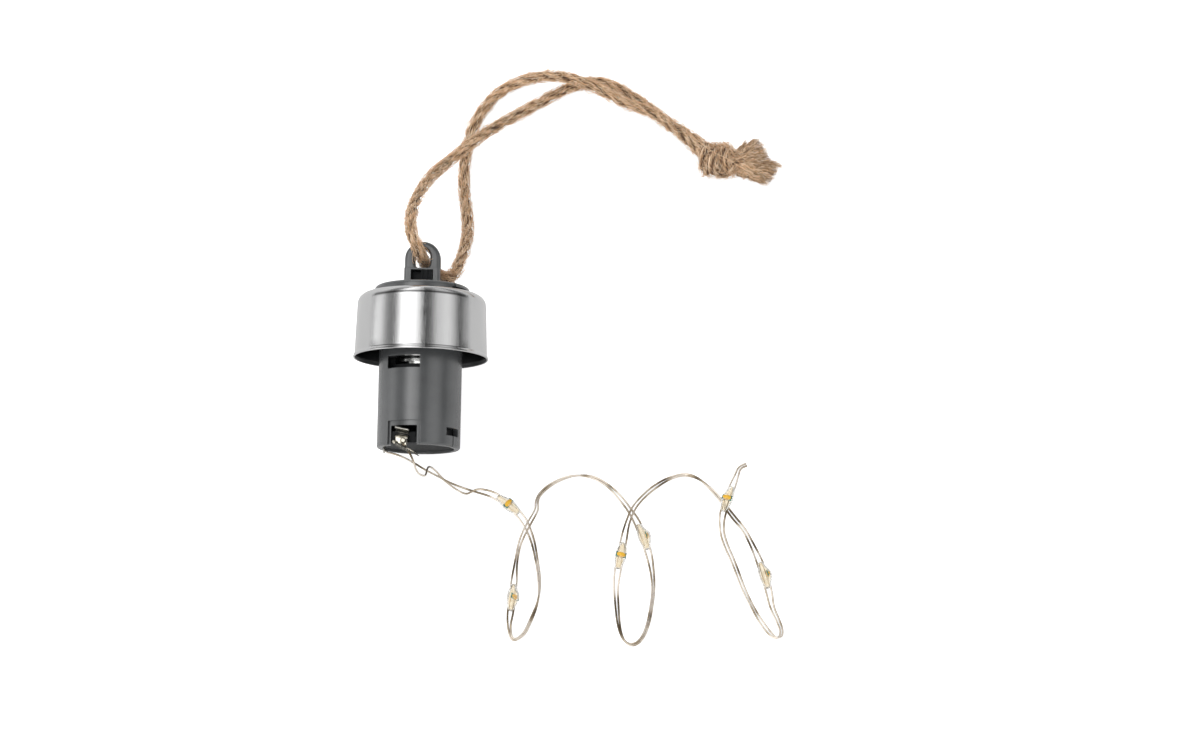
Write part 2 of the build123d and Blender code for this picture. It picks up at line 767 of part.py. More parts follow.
# Jute: from the knot over the front of the lug, down through its eye
# and back to the knot
jute_route = [
    (65.8, 58.2, 4.4),
    (62.9, 61.2, 3.2),
    (59.9, 64.8, 2.0),
    (56.4, 68.3, 1.4),
    (52.6, 71.6, 1.35),
    (47.6, 74.5, 1.35),
    (40.4, 79.1, 1.35),
    (34.8, 78.6, 1.35),
    (29.6, 76.2, 1.35),
    (24.6, 72.9, 1.35),
    (19.9, 69.6, 1.6),
    (15.5, 65.4, 3.6),
    (11.5, 61.0, 6.4),
    (7.5, 55.9, 8.2),
    (3.7, 50.7, 10.6),
    (0.3, 44.8, 14.4),
    (-2.0, 38.5, 18.6),
    (-3.1, 32.3, 22.6),
    (-3.3, 26.8, 25.8),
    (-2.3, 22.2, 27.1),
    (-0.2, 18.8, 24.8),
    (0.0, 21.1, 16.7),
    (2.7, 19.8, 13.4),
    (6.8, 19.5, 12.2),
    (8.2, 23.6, 10.1),
    (8.9, 29.9, 7.2),
    (9.0, 35.2, 4.4),
    (8.6, 40.5, 2.2),
    (7.5, 47.5, 1.35),
    (7.1, 53.9, 1.35),
    (7.7, 60.6, 1.35),
    (9.1, 66.3, 1.35),
    (11.5, 71.5, 1.35),
    (15.1, 75.8, 1.35),
    (19.5, 78.5, 1.5),
    (24.5, 79.0, 3.4),
    (29.6, 77.7, 5.6),
    (34.8, 75.8, 6.4),
    (39.8, 74.7, 4.2),
    (44.2, 72.9, 2.2),
    (48.7, 70.1, 2.6),
    (52.4, 67.4, 3.7),
    (55.5, 64.5, 3.2),
    (58.7, 60.8, 3.3),
    (62.4, 57.1, 4.2),
]
jute_loop = tube(jute_route, jute_d, "jute_loop")
cord_pieces["jute_loop"] = jute_loop

# Knot, and the frayed tails behind it
knot_place = (66.6, 56.1, knot_r + slack)
with BuildPart() as jute_knot:
    with BuildSketch(Plane(knot_place, x_dir=(1, 0, 0), z_dir=(0, 0, 1))):
        Ellipse(knot_half_len, knot_r)
        with Locations((0, -knot_r)):
            Rectangle(2 * knot_half_len, 2 * knot_r, mode=Mode.SUBTRACT)
    revolve(axis=Axis(knot_place, (1, 0, 0)))
cord_pieces["jute_knot"] = jute_knot

# Each section of the tails: its place, half width and half height
tail_sections = [
    (70.0, 56.3, 3.6, 2.6, 2.3),
    (73.6, 56.6, 3.2, 3.2, 2.3),
    (77.6, 56.4, 2.6, 4.2, 2.1),
    (81.2, 55.9, 2.2, 3.2, 1.6),
]
with BuildPart() as jute_tails:
    for x, y, z, half_w, half_h in tail_sections:
        with BuildSketch(Plane((x, y, z), x_dir=(0, 1, 0), z_dir=(1, 0, 0))):
            Ellipse(half_w, half_h)
    loft()
cord_pieces["jute_tails"] = jute_tails

for name, piece in cord_pieces.items():
    piece.part.label = name
    export_step(piece.part, f"parts/{name}.step")

print(f"tilt {tilt:.2f}, moved {-(low_y + high_y) / 2:.2f} along Y, {-low_z:.2f} up")
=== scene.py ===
import math
import random

import bmesh
import bpy
from mathutils import Matrix, Vector, noise


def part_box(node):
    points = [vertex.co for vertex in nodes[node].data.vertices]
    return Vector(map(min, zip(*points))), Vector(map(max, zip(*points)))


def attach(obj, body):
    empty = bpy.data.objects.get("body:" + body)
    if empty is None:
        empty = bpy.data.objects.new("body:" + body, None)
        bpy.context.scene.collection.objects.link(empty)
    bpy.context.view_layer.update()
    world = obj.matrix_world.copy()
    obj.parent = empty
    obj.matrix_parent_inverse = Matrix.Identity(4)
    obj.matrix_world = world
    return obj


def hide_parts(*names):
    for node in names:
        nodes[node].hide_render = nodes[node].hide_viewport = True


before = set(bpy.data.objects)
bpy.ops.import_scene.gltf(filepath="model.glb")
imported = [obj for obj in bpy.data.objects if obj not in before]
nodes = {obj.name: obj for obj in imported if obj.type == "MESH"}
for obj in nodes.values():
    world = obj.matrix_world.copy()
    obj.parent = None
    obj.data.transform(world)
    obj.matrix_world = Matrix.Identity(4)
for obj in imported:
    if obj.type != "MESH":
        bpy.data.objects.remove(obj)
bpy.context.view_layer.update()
random.seed(7)
MM = 0.001

# Sizes of the stopper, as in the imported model, in metres
CUP_RIM_R = 15.0 * MM
CUP_SKIRT_R = 14.5 * MM
CUP_SHOULDER_R = 14.3 * MM
CUP_H = 14.3 * MM
CUP_SHEET = 0.4 * MM
CUP_SHOULDER_FILLET = 2.2 * MM
HOUSING_R = 9.2 * MM
HOUSING_REACH = 20.2 * MM
BASE_EDGE = 0.5 * MM
CUP_HOLE_R = 9.25 * MM

# Sizes of the soft pieces
WIRE_D = 0.45 * MM
BEAD_LEN = 6.0 * MM
BEAD_R = 1.4 * MM

# The stopper lies on the rim of its cup and the lower edge of its housing.
cup_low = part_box("metal_cup")[0]
RUN_OUT = CUP_RIM_R - HOUSING_R + BASE_EDGE
RUN_UP = HOUSING_REACH - BASE_EDGE
TILT = math.atan2(RUN_OUT, RUN_UP) - math.asin(BASE_EDGE / math.hypot(RUN_OUT, RUN_UP))
LIFT = CUP_RIM_R * math.cos(TILT) - HOUSING_REACH * math.sin(TILT)
SHIFT = cup_low.y - HOUSING_REACH * math.cos(TILT) + CUP_RIM_R * math.sin(TILT)


def upright():
    """The matrix that lays an upright piece down where the stopper lies."""
    turn = Matrix.Rotation(-(math.pi / 2 - TILT), 4, "X")
    return Matrix.Translation((0, SHIFT, LIFT)) @ turn


# Node helpers
def new_material(name):
    """A material with a Principled shader: (material, node tree, shader)."""
    mat = bpy.data.materials.new(name)
    mat.use_nodes = True
    tree = mat.node_tree
    return mat, tree, tree.nodes["Principled BSDF"]


def set_shader(shader, **values):
    """Sets sockets of the shader by name, with spaces written as underscores."""
    for key, value in values.items():
        shader.inputs[key.replace("_", " ")].default_value = value


def noise_node(tree, scale, detail=4.0, stretch=None, source="Object"):
    """A noise texture on object or UV coordinates, stretched where asked."""
    coord = tree.nodes.new("ShaderNodeTexCoord")
    mapping = tree.nodes.new("ShaderNodeMapping")
    mapping.inputs["Scale"].default_value = stretch or (1, 1, 1)
    tex = tree.nodes.new("ShaderNodeTexNoise")
    tex.inputs["Scale"].default_value = scale
    tex.inputs["Detail"].default_value = detail
    tree.links.new(coord.outputs[source], mapping.inputs["Vector"])
    tree.links.new(mapping.outputs["Vector"], tex.inputs["Vector"])
    return tex


def math_node(tree, operation, first, second):
    """A maths node on two values or outputs."""
    node = tree.nodes.new("ShaderNodeMath")
    node.operation = operation
    for socket, value in zip(node.inputs, (first, second)):
        if isinstance(value, (int, float)):
            socket.default_value = value
        else:
            tree.links.new(value, socket)
    return node.outputs[0]


def ramp_node(tree, source, stops):
    """A colour ramp on a value, from (position, colour) stops."""
    ramp = tree.nodes.new("ShaderNodeValToRGB")
    while len(ramp.color_ramp.elements) < len(stops):
        ramp.color_ramp.elements.new(0.5)
    for element, (place, colour) in zip(ramp.color_ramp.elements, stops):
        element.position = place
        element.color = (*colour, 1) if len(colour) == 3 else colour
    tree.links.new(source, ramp.inputs["Fac"])
    return ramp


def tint_shader(tree, shader, tex, stops):
    """Colours the shader by a texture's value, from (position, colour) stops."""
    ramp = ramp_node(tree, tex.outputs["Fac"], stops)
    tree.links.new(ramp.outputs["Color"], shader.inputs["Base Color"])


def range_node(tree, source, low, high):
    """Maps a value from 0..1 to low..high."""
    node = tree.nodes.new("ShaderNodeMapRange")
    node.inputs["To Min"].default_value = low
    node.inputs["To Max"].default_value = high
    tree.links.new(source, node.inputs["Value"])
    return node


def bump_node(tree, source, shader, strength, distance):
    """A bump from a height value, put on the shader's normal."""
    bump = tree.nodes.new("ShaderNodeBump")
    bump.inputs["Strength"].default_value = strength
    bump.inputs["Distance"].default_value = distance
    tree.links.new(source, bump.inputs["Height"])
    tree.links.new(bump.outputs["Normal"], shader.inputs["Normal"])
    return bump


# Materials
def steel_material(name, base, rough_low, rough_high, spin):
    """Polished sheet metal with fine marks and slight smears."""
    mat, tree, shader = new_material(name)
    set_shader(shader, Metallic=1.0)
    marks = noise_node(tree, 700.0, 3.0, spin, "UV" if spin else "Object")
    smear = noise_node(tree, 90.0, 5.0)
    wear = math_node(tree, "MULTIPLY", marks.outputs["Fac"], smear.outputs["Fac"])
    rough = range_node(tree, wear, rough_low, rough_high)
    tree.links.new(rough.outputs["Result"], shader.inputs["Roughness"])
    stops = [(0.3, [c * 0.93 for c in base]), (0.7, base)]
    tint_shader(tree, shader, smear, stops)
    bump_node(tree, marks.outputs["Fac"], shader, 0.25, 0.00004)
    return mat


def plastic_material(name, base, rough, grain, shine):
    """Moulded plastic: a fine grain, slight unevenness and worn, paler spots."""
    mat, tree, shader = new_material(name)
    fine = noise_node(tree, grain, 2.0)
    broad = noise_node(tree, 120.0, 5.0)
    stops = [(0.3, [c * 0.84 for c in base]), (0.72, [c * 1.16 for c in base])]
    tint_shader(tree, shader, broad, stops)
    low, high = rough - 0.06, rough + 0.06
    uneven = range_node(tree, broad.outputs["Fac"], low, high)
    tree.links.new(uneven.outputs["Result"], shader.inputs["Roughness"])
    set_shader(shader, Specular_IOR_Level=shine)
    bump = bump_node(tree, fine.outputs["Fac"], shader, 0.3, 0.00004)
    soft = tree.nodes.new("ShaderNodeBevel")
    soft.samples = 4
    soft.inputs["Radius"].default_value = 0.00018
    tree.links.new(soft.outputs["Normal"], bump.inputs["Normal"])
    return mat


def jute_material():
    """Bast fibre: streaks along each fibre, and painted shade down in the lay."""
    mat, tree, shader = new_material("jute")
    streaks = noise_node(tree, 1.0, 6.0, (0.7, 2.6, 1), "UV")
    blotch = noise_node(tree, 160.0, 4.0)
    tint = ramp_node(
        tree,
        streaks.outputs["Fac"],
        [
            (0.38, (0.3, 0.18, 0.095)),
            (0.46, (0.58, 0.39, 0.235)),
            (0.54, (0.82, 0.6, 0.4)),
            (0.62, (1.0, 0.86, 0.68)),
        ],
    )
    shade = ramp_node(
        tree,
        blotch.outputs["Fac"],
        [(0.35, (0.8, 0.77, 0.74)), (0.65, (1.12, 1.1, 1.07))],
    )
    # Painted shade: the twine is drawn darker towards its axis, down in the lay between the plies
    depth = tree.nodes.new("ShaderNodeAttribute")
    depth.attribute_name = "depth"
    painted_lay_shade = ramp_node(
        tree,
        depth.outputs["Fac"],
        [(0.0, (0.2, 0.15, 0.11)), (0.45, (0.55, 0.48, 0.42)), (0.9, (1.0, 1.0, 1.0))],
    )
    mixes = []
    for factor in (shade, painted_lay_shade):
        mix = tree.nodes.new("ShaderNodeMix")
        mix.data_type = "RGBA"
        mix.blend_type = "MULTIPLY"
        mix.inputs["Factor"].default_value = 1.0
        before = mixes[-1].outputs["Result"] if mixes else tint.outputs["Color"]
        tree.links.new(before, mix.inputs["A"])
        tree.links.new(factor.outputs["Color"], mix.inputs["B"])
        mixes.append(mix)
    tree.links.new(mixes[-1].outputs["Result"], shader.inputs["Base Color"])
    set_shader(shader, Roughness=0.8, Sheen_Weight=0.2, Sheen_Roughness=0.5)
    bump_node(tree, streaks.outputs["Fac"], shader, 0.6, 0.0001)
    return mat


def fuzz_material():
    """Single bast fibres, pale and warm where light comes through them."""
    mat, tree, shader = new_material("jute_fuzz")
    streaks = noise_node(tree, 1.0, 3.0, (0.4, 1.0, 1), "UV")
    stops = [(0.36, (0.66, 0.36, 0.18)), (0.5, (0.82, 0.55, 0.32)), (0.64, (0.93, 0.79, 0.61))]
    tint_shader(tree, shader, streaks, stops)
    set_shader(shader, Roughness=0.7, Sheen_Weight=0.3, Sheen_Roughness=0.4)
    return mat


def wire_material():
    """Lacquered fine wire: stretches of painted highlight and painted shade, and fine scuffs."""
    mat, tree, shader = new_material("champagne_wire")
    painted_glint_stretches = noise_node(tree, 170.0, 2.0)
    scuffs = noise_node(tree, 900.0, 3.0)
    # Painted highlights and shade: the colour runs from dark to bright along the wire
    stops = [(0.35, (0.17, 0.13, 0.085)), (0.44, (0.5, 0.41, 0.3)), (0.54, (0.9, 0.82, 0.72))]
    tint_shader(tree, shader, painted_glint_stretches, stops)
    rough = range_node(tree, scuffs.outputs["Fac"], 0.2, 0.42)
    tree.links.new(rough.outputs["Result"], shader.inputs["Roughness"])
    set_shader(shader, Metallic=0.8)
    bump_node(tree, scuffs.outputs["Fac"], shader, 0.1, 0.00002)
    return mat


def resin_material():
    """Clear, slightly milky resin with small bubbles."""
    mat, tree, shader = new_material("clear_resin")
    cloud = noise_node(tree, 700.0, 3.0)
    stops = [(0.35, (0.74, 0.64, 0.46)), (0.65, (0.9, 0.84, 0.7))]
    tint_shader(tree, shader, cloud, stops)
    set_shader(shader, Roughness=0.12, IOR=1.4, Transmission_Weight=0.78)
    bump_node(tree, cloud.outputs["Fac"], shader, 0.2, 0.0001)
    return mat


def phosphor_material():
    """Yellow phosphor, a little uneven."""
    mat, tree, shader = new_material("yellow_chip")
    grains = noise_node(tree, 2500.0, 3.0)
    stops = [(0.3, (0.68, 0.36, 0.02)), (0.7, (0.86, 0.52, 0.05))]
    tint_shader(tree, shader, grains, stops)
    set_shader(shader, Roughness=0.45)
    return mat


def substrate_material():
    """Teal board of a chip."""
    mat, tree, shader = new_material("teal_board")
    grains = noise_node(tree, 1800.0, 3.0)
    stops = [(0.35, (0.02, 0.12, 0.1)), (0.7, (0.08, 0.26, 0.2))]
    tint_shader(tree, shader, grains, stops)
    set_shader(shader, Roughness=0.4)
    return mat


GREY = plastic_material("grey_plastic", (0.072, 0.075, 0.077), 0.24, 9000.0, 1.0)
BLACK = plastic_material("black_plastic", (0.007, 0.008, 0.009), 0.5, 9000.0, 0.2)
STEEL = steel_material("polished_steel", (0.6, 0.6, 0.6), 0.09, 0.2, (0.9, 0.004, 1))
# Painted shade: a dark copy of the steel for the cup's inside, which lies in shade
CUP_INSIDE_SHADE = steel_material("cup_inside_painted_shade", (0.085, 0.088, 0.09), 0.3, 0.5, None)
CELL = steel_material("cell_steel", (0.8, 0.8, 0.78), 0.1, 0.3, None)
NICKEL = steel_material("nickel", (0.36, 0.35, 0.32), 0.16, 0.36, None)
TIN = steel_material("tin", (0.85, 0.8, 0.68), 0.24, 0.5, None)
DARK_SOLDER = steel_material("dark_solder", (0.16, 0.155, 0.14), 0.16, 0.4, None)
SOLDER = steel_material("solder", (0.74, 0.7, 0.6), 0.2, 0.5, None)
JUTE = jute_material()
FUZZ = fuzz_material()
WIRE = wire_material()
RESIN = resin_material()
PHOSPHOR = phosphor_material()
BOARD = substrate_material()

NODE_MATERIALS = {
    "housing_shell": GREY,
    "hanger_cap": GREY,
    # The base plug is black plastic, made black also as painted shade in the latch window and the
    # housing's open end
    "base_plug": BLACK,
    "cell_tray": BLACK,
    "switch_body": BLACK,
    "switch_knob": BLACK,
    "cell_1": CELL,
    "cell_2": CELL,
    "cell_3": CELL,
    "tray_end_contact": NICKEL,
    "cell_plate": NICKEL,
    "wiper_contact": NICKEL,
    "switch_pins": NICKEL,
    "rail_contact": NICKEL,
    "clip_contact": NICKEL,
    "solder_joints": SOLDER,
}
for name, mat in NODE_MATERIALS.items():
    nodes[name].data.materials.clear()
    nodes[name].data.materials.append(mat)


# Mesh helpers
def add_object(name, data):
    """An object with this data, in the scene."""
    obj = bpy.data.objects.new(name, data)
    bpy.context.scene.collection.objects.link(obj)
    return obj


def new_mesh(name, verts, faces, mat, body, uvs=None):
    """A mesh object that rides on a body. uvs holds one pair for each vertex."""
    mesh = bpy.data.meshes.new(name)
    mesh.from_pydata([tuple(v) for v in verts], [], faces)
    mesh.materials.append(mat)
    if uvs:
        layer = mesh.uv_layers.new(name="UVMap")
        for loop in mesh.loops:
            layer.data[loop.index].uv = uvs[loop.vertex_index]
    mesh.shade_smooth()
    obj = add_object(name, mesh)
    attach(obj, body)
    return obj


def lathe(profile, segments=160):
    """Points and faces of a closed profile, (radius, height), turned round Z."""
    verts, faces = [], []
    count = len(profile)
    for step in range(segments):
        angle = 2 * math.pi * step / segments
        for radius, height in profile:
            verts.append((radius * math.cos(angle), radius * math.sin(angle), height))
    for step in range(segments):
        here, ahead = step * count, (step + 1) % segments * count
        for k in range(count):
            after = (k + 1) % count
            faces.append((here + k, ahead + k, ahead + after, here + after))
    return verts, faces


def nurbs_curve(name, route, bevel=0.0):
    """A curve object of one open NURBS spline with the route's points."""
    curve = bpy.data.curves.new(name, "CURVE")
    curve.dimensions = "3D"
    spline = curve.splines.new("NURBS")
    spline.points.add(len(route) - 1)
    for point, place in zip(spline.points, route):
        point.co = (place[0], place[1], place[2], 1)
    spline.order_u = 3
    spline.use_endpoint_u = True
    spline.resolution_u = 10
    curve.bevel_depth = bevel
    curve.bevel_resolution = 5
    curve.use_fill_caps = True
    obj = add_object(name, curve)
    return obj


def spline_points(route):
    """Points along the route's NURBS spline."""
    bare = nurbs_curve("bare", route)
    mesh = bpy.data.meshes.new_from_object(bare)
    line = [v.co.copy() for v in mesh.vertices]
    curve = bare.data
    bpy.data.objects.remove(bare)
    bpy.data.curves.remove(curve)
    bpy.data.meshes.remove(mesh)
    return line


def evenly(line, step):
    """The line again, with points about step apart."""
    along = [0.0]
    for a, b in zip(line, line[1:]):
        along.append(along[-1] + (b - a).length)
    count = max(2, round(along[-1] / step) + 1)
    out, k = [], 0
    for number in range(count):
        at = along[-1] * number / (count - 1)
        while k < len(line) - 2 and along[k + 1] < at:
            k += 1
        share = (at - along[k]) / max(along[k + 1] - along[k], 1e-12)
        out.append(line[k].lerp(line[k + 1], min(max(share, 0), 1)))
    return out


def round_at(pair, angle):
    """The direction at an angle between a line's two side directions."""
    u, v = pair
    return u * math.cos(angle) + v * math.sin(angle)


def frames(line):
    """Two directions square to the line at each point, carried without twist."""
    out = []
    side = None
    for k, point in enumerate(line):
        ahead = line[min(k + 1, len(line) - 1)] - line[max(k - 1, 0)]
        ahead.normalize()
        if side is None:
            side = ahead.cross(Vector((0.3, 0.2, 1))).normalized()
        side = (side - ahead * side.dot(ahead)).normalized()
        out.append((side.copy(), ahead.cross(side)))
    return out


class Bundle:
    """Collects tubes for one mesh, in one of two materials each."""

    def __init__(self):
        self.verts, self.faces, self.uvs = [], [], []
        self.depths, self.slots = [], []

    def tube(self, line, radius, sides=8, ends=True, uv=(0.0, 0.0), slot=0, depth=1.0):
        """A tube along the line. radius is a number or a function of the share.

        depth sets the painted shade of the lay: 1 on the outside of the twine
        and 0 in its middle, a number, or the axis that it is measured from.
        """
        base = len(self.verts)
        first = len(self.faces)
        count = len(line)
        run = 0.0
        for k, (point, pair) in enumerate(zip(line, frames(line))):
            if k:
                run += (point - line[k - 1]).length
            r = radius(k / (count - 1)) if callable(radius) else radius
            for s in range(sides):
                angle = 2 * math.pi * s / sides
                place = point + round_at(pair, angle) * r
                self.verts.append(place)
                self.uvs.append((uv[0] + run * 1000, uv[1] + abs(s / sides - 0.5)))
                # Painted shade of the lay: a given value, or darker the nearer the point lies to
                # the axis
                if isinstance(depth, float):
                    self.depths.append(depth)
                else:
                    out = ((place - depth[k]).length - SHADE_FULL_R) / (SHADE_NONE_R - SHADE_FULL_R)
                    self.depths.append(min(max(out, 0), 1))
        for k in range(count - 1):
            for s in range(sides):
                a, b = base + k * sides + s, base + k * sides + (s + 1) % sides
                self.faces.append((a, b, b + sides, a + sides))
        if ends:
            self.faces.append(tuple(base + s for s in reversed(range(sides))))
            top = base + (count - 1) * sides
            self.faces.append(tuple(top + s for s in range(sides)))
        self.slots += [slot] * (len(self.faces) - first)

    def object(self, name, mats, body):
        obj = new_mesh(name, self.verts, self.faces, mats[0], body, self.uvs)
        for mat in mats[1:]:
            obj.data.materials.append(mat)
        obj.data.polygons.foreach_set("material_index", self.slots)
        # The painted shade of the lay, kept on each point for the jute material
        layer = obj.data.attributes.new("depth", "FLOAT", "POINT")
        layer.data.foreach_set("value", self.depths)
        return obj


# Camera: the photograph looks down on the table
VIEW_ELEVATION = math.radians(64.5)
VIEW_ROLL = math.radians(0.8)
VIEW_DISTANCE = 0.6
VIEW_TARGET = Vector((0.0399, -0.0077, 0.01871))
FOCAL_PX = 2730
PHOTO_W_PX = 1200


def make_camera():
    """The camera at the photograph's viewing angle."""
    data = bpy.data.cameras.new("camera")
    data.sensor_width = 36
    data.lens = FOCAL_PX * data.sensor_width / PHOTO_W_PX
    data.clip_start = 0.01
    data.clip_end = 20
    cam = add_object("camera", data)
    out = Vector((0, -math.cos(VIEW_ELEVATION), math.sin(VIEW_ELEVATION)))
    look = Matrix.Rotation(math.pi / 2 - VIEW_ELEVATION, 4, "X")
    roll = Matrix.Rotation(VIEW_ROLL, 4, "Z")
    spot = Matrix.Translation(VIEW_TARGET + out * VIEW_DISTANCE)
    cam.matrix_world = spot @ look @ roll
    bpy.context.scene.camera = cam


make_camera()

# The middle of the two strands, and half the distance between them
PAIR_MM = [
    (17.1, -28.7, 1.42, 0.45),
    (22.9, -33.3, 1.42, 0.45),
    (25.4, -38.4, 0.6, 0.4),
    (26.4, -43.0, 0.35, 0.35),
    (27.3, -48.3, 0.35, 0.4),
    (27.2, -53.3, 0.35, 0.35),
    (25.5, -58.0, 0.35, 0.4),
    (24.1, -61.3, 0.35, 0.3),
    (21.6, -62.8, 0.4, 0.3),
    (20.8, -59.6, 0.7, 0.3),
    (21.1, -56.4, 1.42, 0.45),
    (21.7, -49.6, 1.42, 0.45),
    (21.9, -45.0, 0.8, 0.35),
    (22.5, -40.8, 1.1, 0.35),
    (23.5, -38.0, 1.75, 0.4),
    (25.3, -34.3, 1.75, 0.4),
    (26.4, -31.7, 0.9, 0.35),
    (26.1, -29.4, 0.4, 0.35),
    (27.5, -27.0, 0.35, 0.4),
    (30.6, -24.6, 0.35, 0.45),
    (34.5, -23.2, 0.35, 0.4),
    (38.5, -23.4, 0.35, 0.35),
    (42.2, -25.6, 0.35, 0.4),
    (45.2, -29.0, 0.35, 0.45),
    (46.9, -31.5, 0.4, 0.4),
    (48.7, -34.9, 1.42, 0.45),
    (51.1, -41.6, 1.42, 0.45),
    (52.0, -46.0, 0.45, 0.35),
    (52.3, -50.3, 0.35, 0.4),
    (51.8, -54.7, 0.35, 0.35),
    (51.0, -59.0, 0.35, 0.4),
    (49.6, -62.2, 0.35, 0.45),
    (47.6, -63.4, 0.35, 0.45),
    (45.7, -62.2, 0.35, 0.4),
    (44.7, -58.8, 0.35, 0.4),
    (44.3, -54.3, 0.35, 0.35),
    (44.0, -50.3, 0.5, 0.4),
    (44.3, -46.5, 1.42, 0.45),
    (45.6, -39.2, 1.46, 0.45),
    (46.3, -35.4, 1.8, 0.4),
    (47.7, -31.5, 1.8, 0.4),
    (49.6, -28.6, 0.7, 0.35),
    (52.2, -25.9, 0.35, 0.4),
    (55.6, -23.6, 0.35, 0.45),
    (59.2, -22.5, 0.35, 0.4),
    (62.4, -23.6, 0.35, 0.35),
    (65.2, -26.3, 0.35, 0.4),
    (67.6, -29.3, 0.35, 0.45),
    (69.8, -32.7, 0.35, 0.4),
    (72.3, -35.7, 0.35, 0.35),
    (74.1, -39.6, 0.4, 0.4),
    (75.5, -43.5, 1.42, 0.45),
    (77.5, -50.4, 1.42, 0.45),
    (78.1, -54.0, 0.5, 0.4),
    (79.4, -56.9, 0.35, 0.35),
    (80.2, -59.2, 0.35, 0.3),
    (80.1, -60.6, 0.35, 0.3),
    (79.1, -61.3, 0.35, 0.3),
    (77.9, -60.4, 0.35, 0.35),
    (75.9, -57.7, 0.35, 0.4),
    (74.0, -54.2, 0.35, 0.4),
    (71.8, -49.4, 0.35, 0.35),
    (70.0, -43.8, 0.35, 0.35),
    (67.9, -39.0, 0.6, 0.4),
    (67.2, -36.0, 1.3, 0.4),
    (67.4, -32.5, 2.3, 0.45),
    (69.7, -26.1, 2.3, 0.45),
    (70.8, -22.8, 1.2, 0.35),
    (71.4, -20.7, 0.6, 0.3),
    (73.0, -20.1, 0.45, 0.3),
]
LEFT_LEAD_MM = [
    (-7.0, -21.9, 9.2),
    (-6.8, -23.0, 10.9),
    (-5.7, -23.7, 12.2),
    (-4.2, -24.2, 12.5),
    (-2.3, -24.6, 11.2),
    (-0.3, -24.7, 8.6),
    (1.4, -24.9, 6.2),
    (3.2, -24.9, 3.8),
    (5.2, -25.2, 1.8),
    (7.6, -26.0, 0.6),
    (12.3, -27.6, 0.45),
]
RIGHT_LEAD_MM = [
    (-2.8, -23.9, 17.7),
    (-1.4, -25.2, 16.4),
    (-0.5, -26.6, 14.4),
    (-0.2, -27.3, 11.8),
    (0.5, -27.6, 9.6),
    (1.8, -27.2, 7.7),
    (1.9, -25.3, 6.8),
    (2.3, -23.8, 5.8),
    (3.6, -24.3, 4.7),
    (4.8, -25.4, 3.7),
    (6.1, -26.4, 2.8),
    (8.0, -27.5, 1.7),
    (10.4, -28.6, 1.0),
    (11.8, -27.8, 1.1),
    (13.4, -27.2, 1.5),
]
JUTE_MM = [
    (63.9, 60.3, 3.2),
    (62.2, 62.0, 2.6),
    (59.8, 64.5, 1.8),
    (57.3, 66.5, 1.4),
    (54.8, 68.1, 1.4),
    (52.2, 70.6, 1.35),
    (47.6, 74.5, 1.35),
    (40.4, 79.1, 1.35),
    (34.8, 78.6, 1.35),
    (29.6, 76.2, 1.35),
    (24.6, 72.9, 1.35),
    (19.9, 69.6, 1.6),
    (15.5, 65.4, 3.6),
    (11.5, 61.0, 6.4),
    (7.5, 55.9, 8.2),
    (3.7, 50.7, 10.6),
    (0.3, 44.8, 14.4),
    (-1.7, 38.5, 18.6),
    (-2.7, 32.3, 22.6),
    (-2.9, 26.8, 25.8),
    (-2.3, 22.2, 27.1),
    (-0.2, 18.8, 24.8),
    (0.0, 21.1, 16.7),
    (2.7, 19.8, 13.4),
    (5.9, 19.5, 12.3),
    (7.0, 22.9, 10.4),
    (8.3, 29.4, 7.3),
    (8.9, 35.2, 4.4),
    (8.6, 40.5, 2.2),
    (7.5, 47.5, 1.35),
    (7.1, 53.9, 1.35),
    (7.7, 60.6, 1.35),
    (9.1, 66.3, 1.35),
    (11.5, 71.5, 1.35),
    (15.1, 75.8, 1.35),
    (19.5, 78.5, 1.5),
    (24.5, 79.0, 3.4),
    (29.6, 77.7, 5.6),
    (34.8, 75.8, 6.4),
    (39.8, 74.7, 4.2),
    (44.2, 72.9, 2.2),
    (48.8, 70.6, 2.9),
    (52.3, 68.7, 3.8),
    (54.8, 66.3, 3.8),
    (57.2, 64.2, 3.9),
    (59.7, 61.7, 4.1),
    (61.9, 59.0, 4.4),
    (63.4, 57.4, 4.2),
]


# Beads: the run of the pair's route that each lies on, how far it is turned
# round the strands, and how far out the strands pass in it
BEAD_RUNS = [0, 10, 25, 37, 65, 51]
BEAD_TURNS = [0, 45, -75, 10, -12, -78]
BEAD_SPREAD_MM = 0.68

# Where the pair is twisted by half a turn, and where it lies close together
TWIST_ROWS = [5, 20, 33, 45, 57]
CLOSE_SPREAD_MM = 0.24
CLOSE_ROWS = [3, 4, 6, 7, 8, 9, 12, 13, 17, 18, 19, 21]
CLOSE_ROWS += [22, 28, 29, 30, 31, 32, 34, 43, 44, 46, 47, 60]


def strand(lead, side):
    """A strand's whole route in metres: its lead, then its side of the pair."""
    route = list(lead)
    for number, (x, y, z, spread) in enumerate(PAIR_MM):
        before = PAIR_MM[max(number - 1, 0)]
        after = PAIR_MM[min(number + 1, len(PAIR_MM) - 1)]
        along = Vector((after[0] - before[0], after[1] - before[1])).normalized()
        if number in CLOSE_ROWS:
            spread = CLOSE_SPREAD_MM
        if number in BEAD_RUNS or number - 1 in BEAD_RUNS:
            spread = BEAD_SPREAD_MM
        if number in TWIST_ROWS:
            z = max(z, CLOSE_SPREAD_MM + 0.25) + side * CLOSE_SPREAD_MM
            side = -side
            spread = 0
        route.append((x - side * spread * along.y, y + side * spread * along.x, z))
    return [tuple(c * MM for c in place) for place in route]


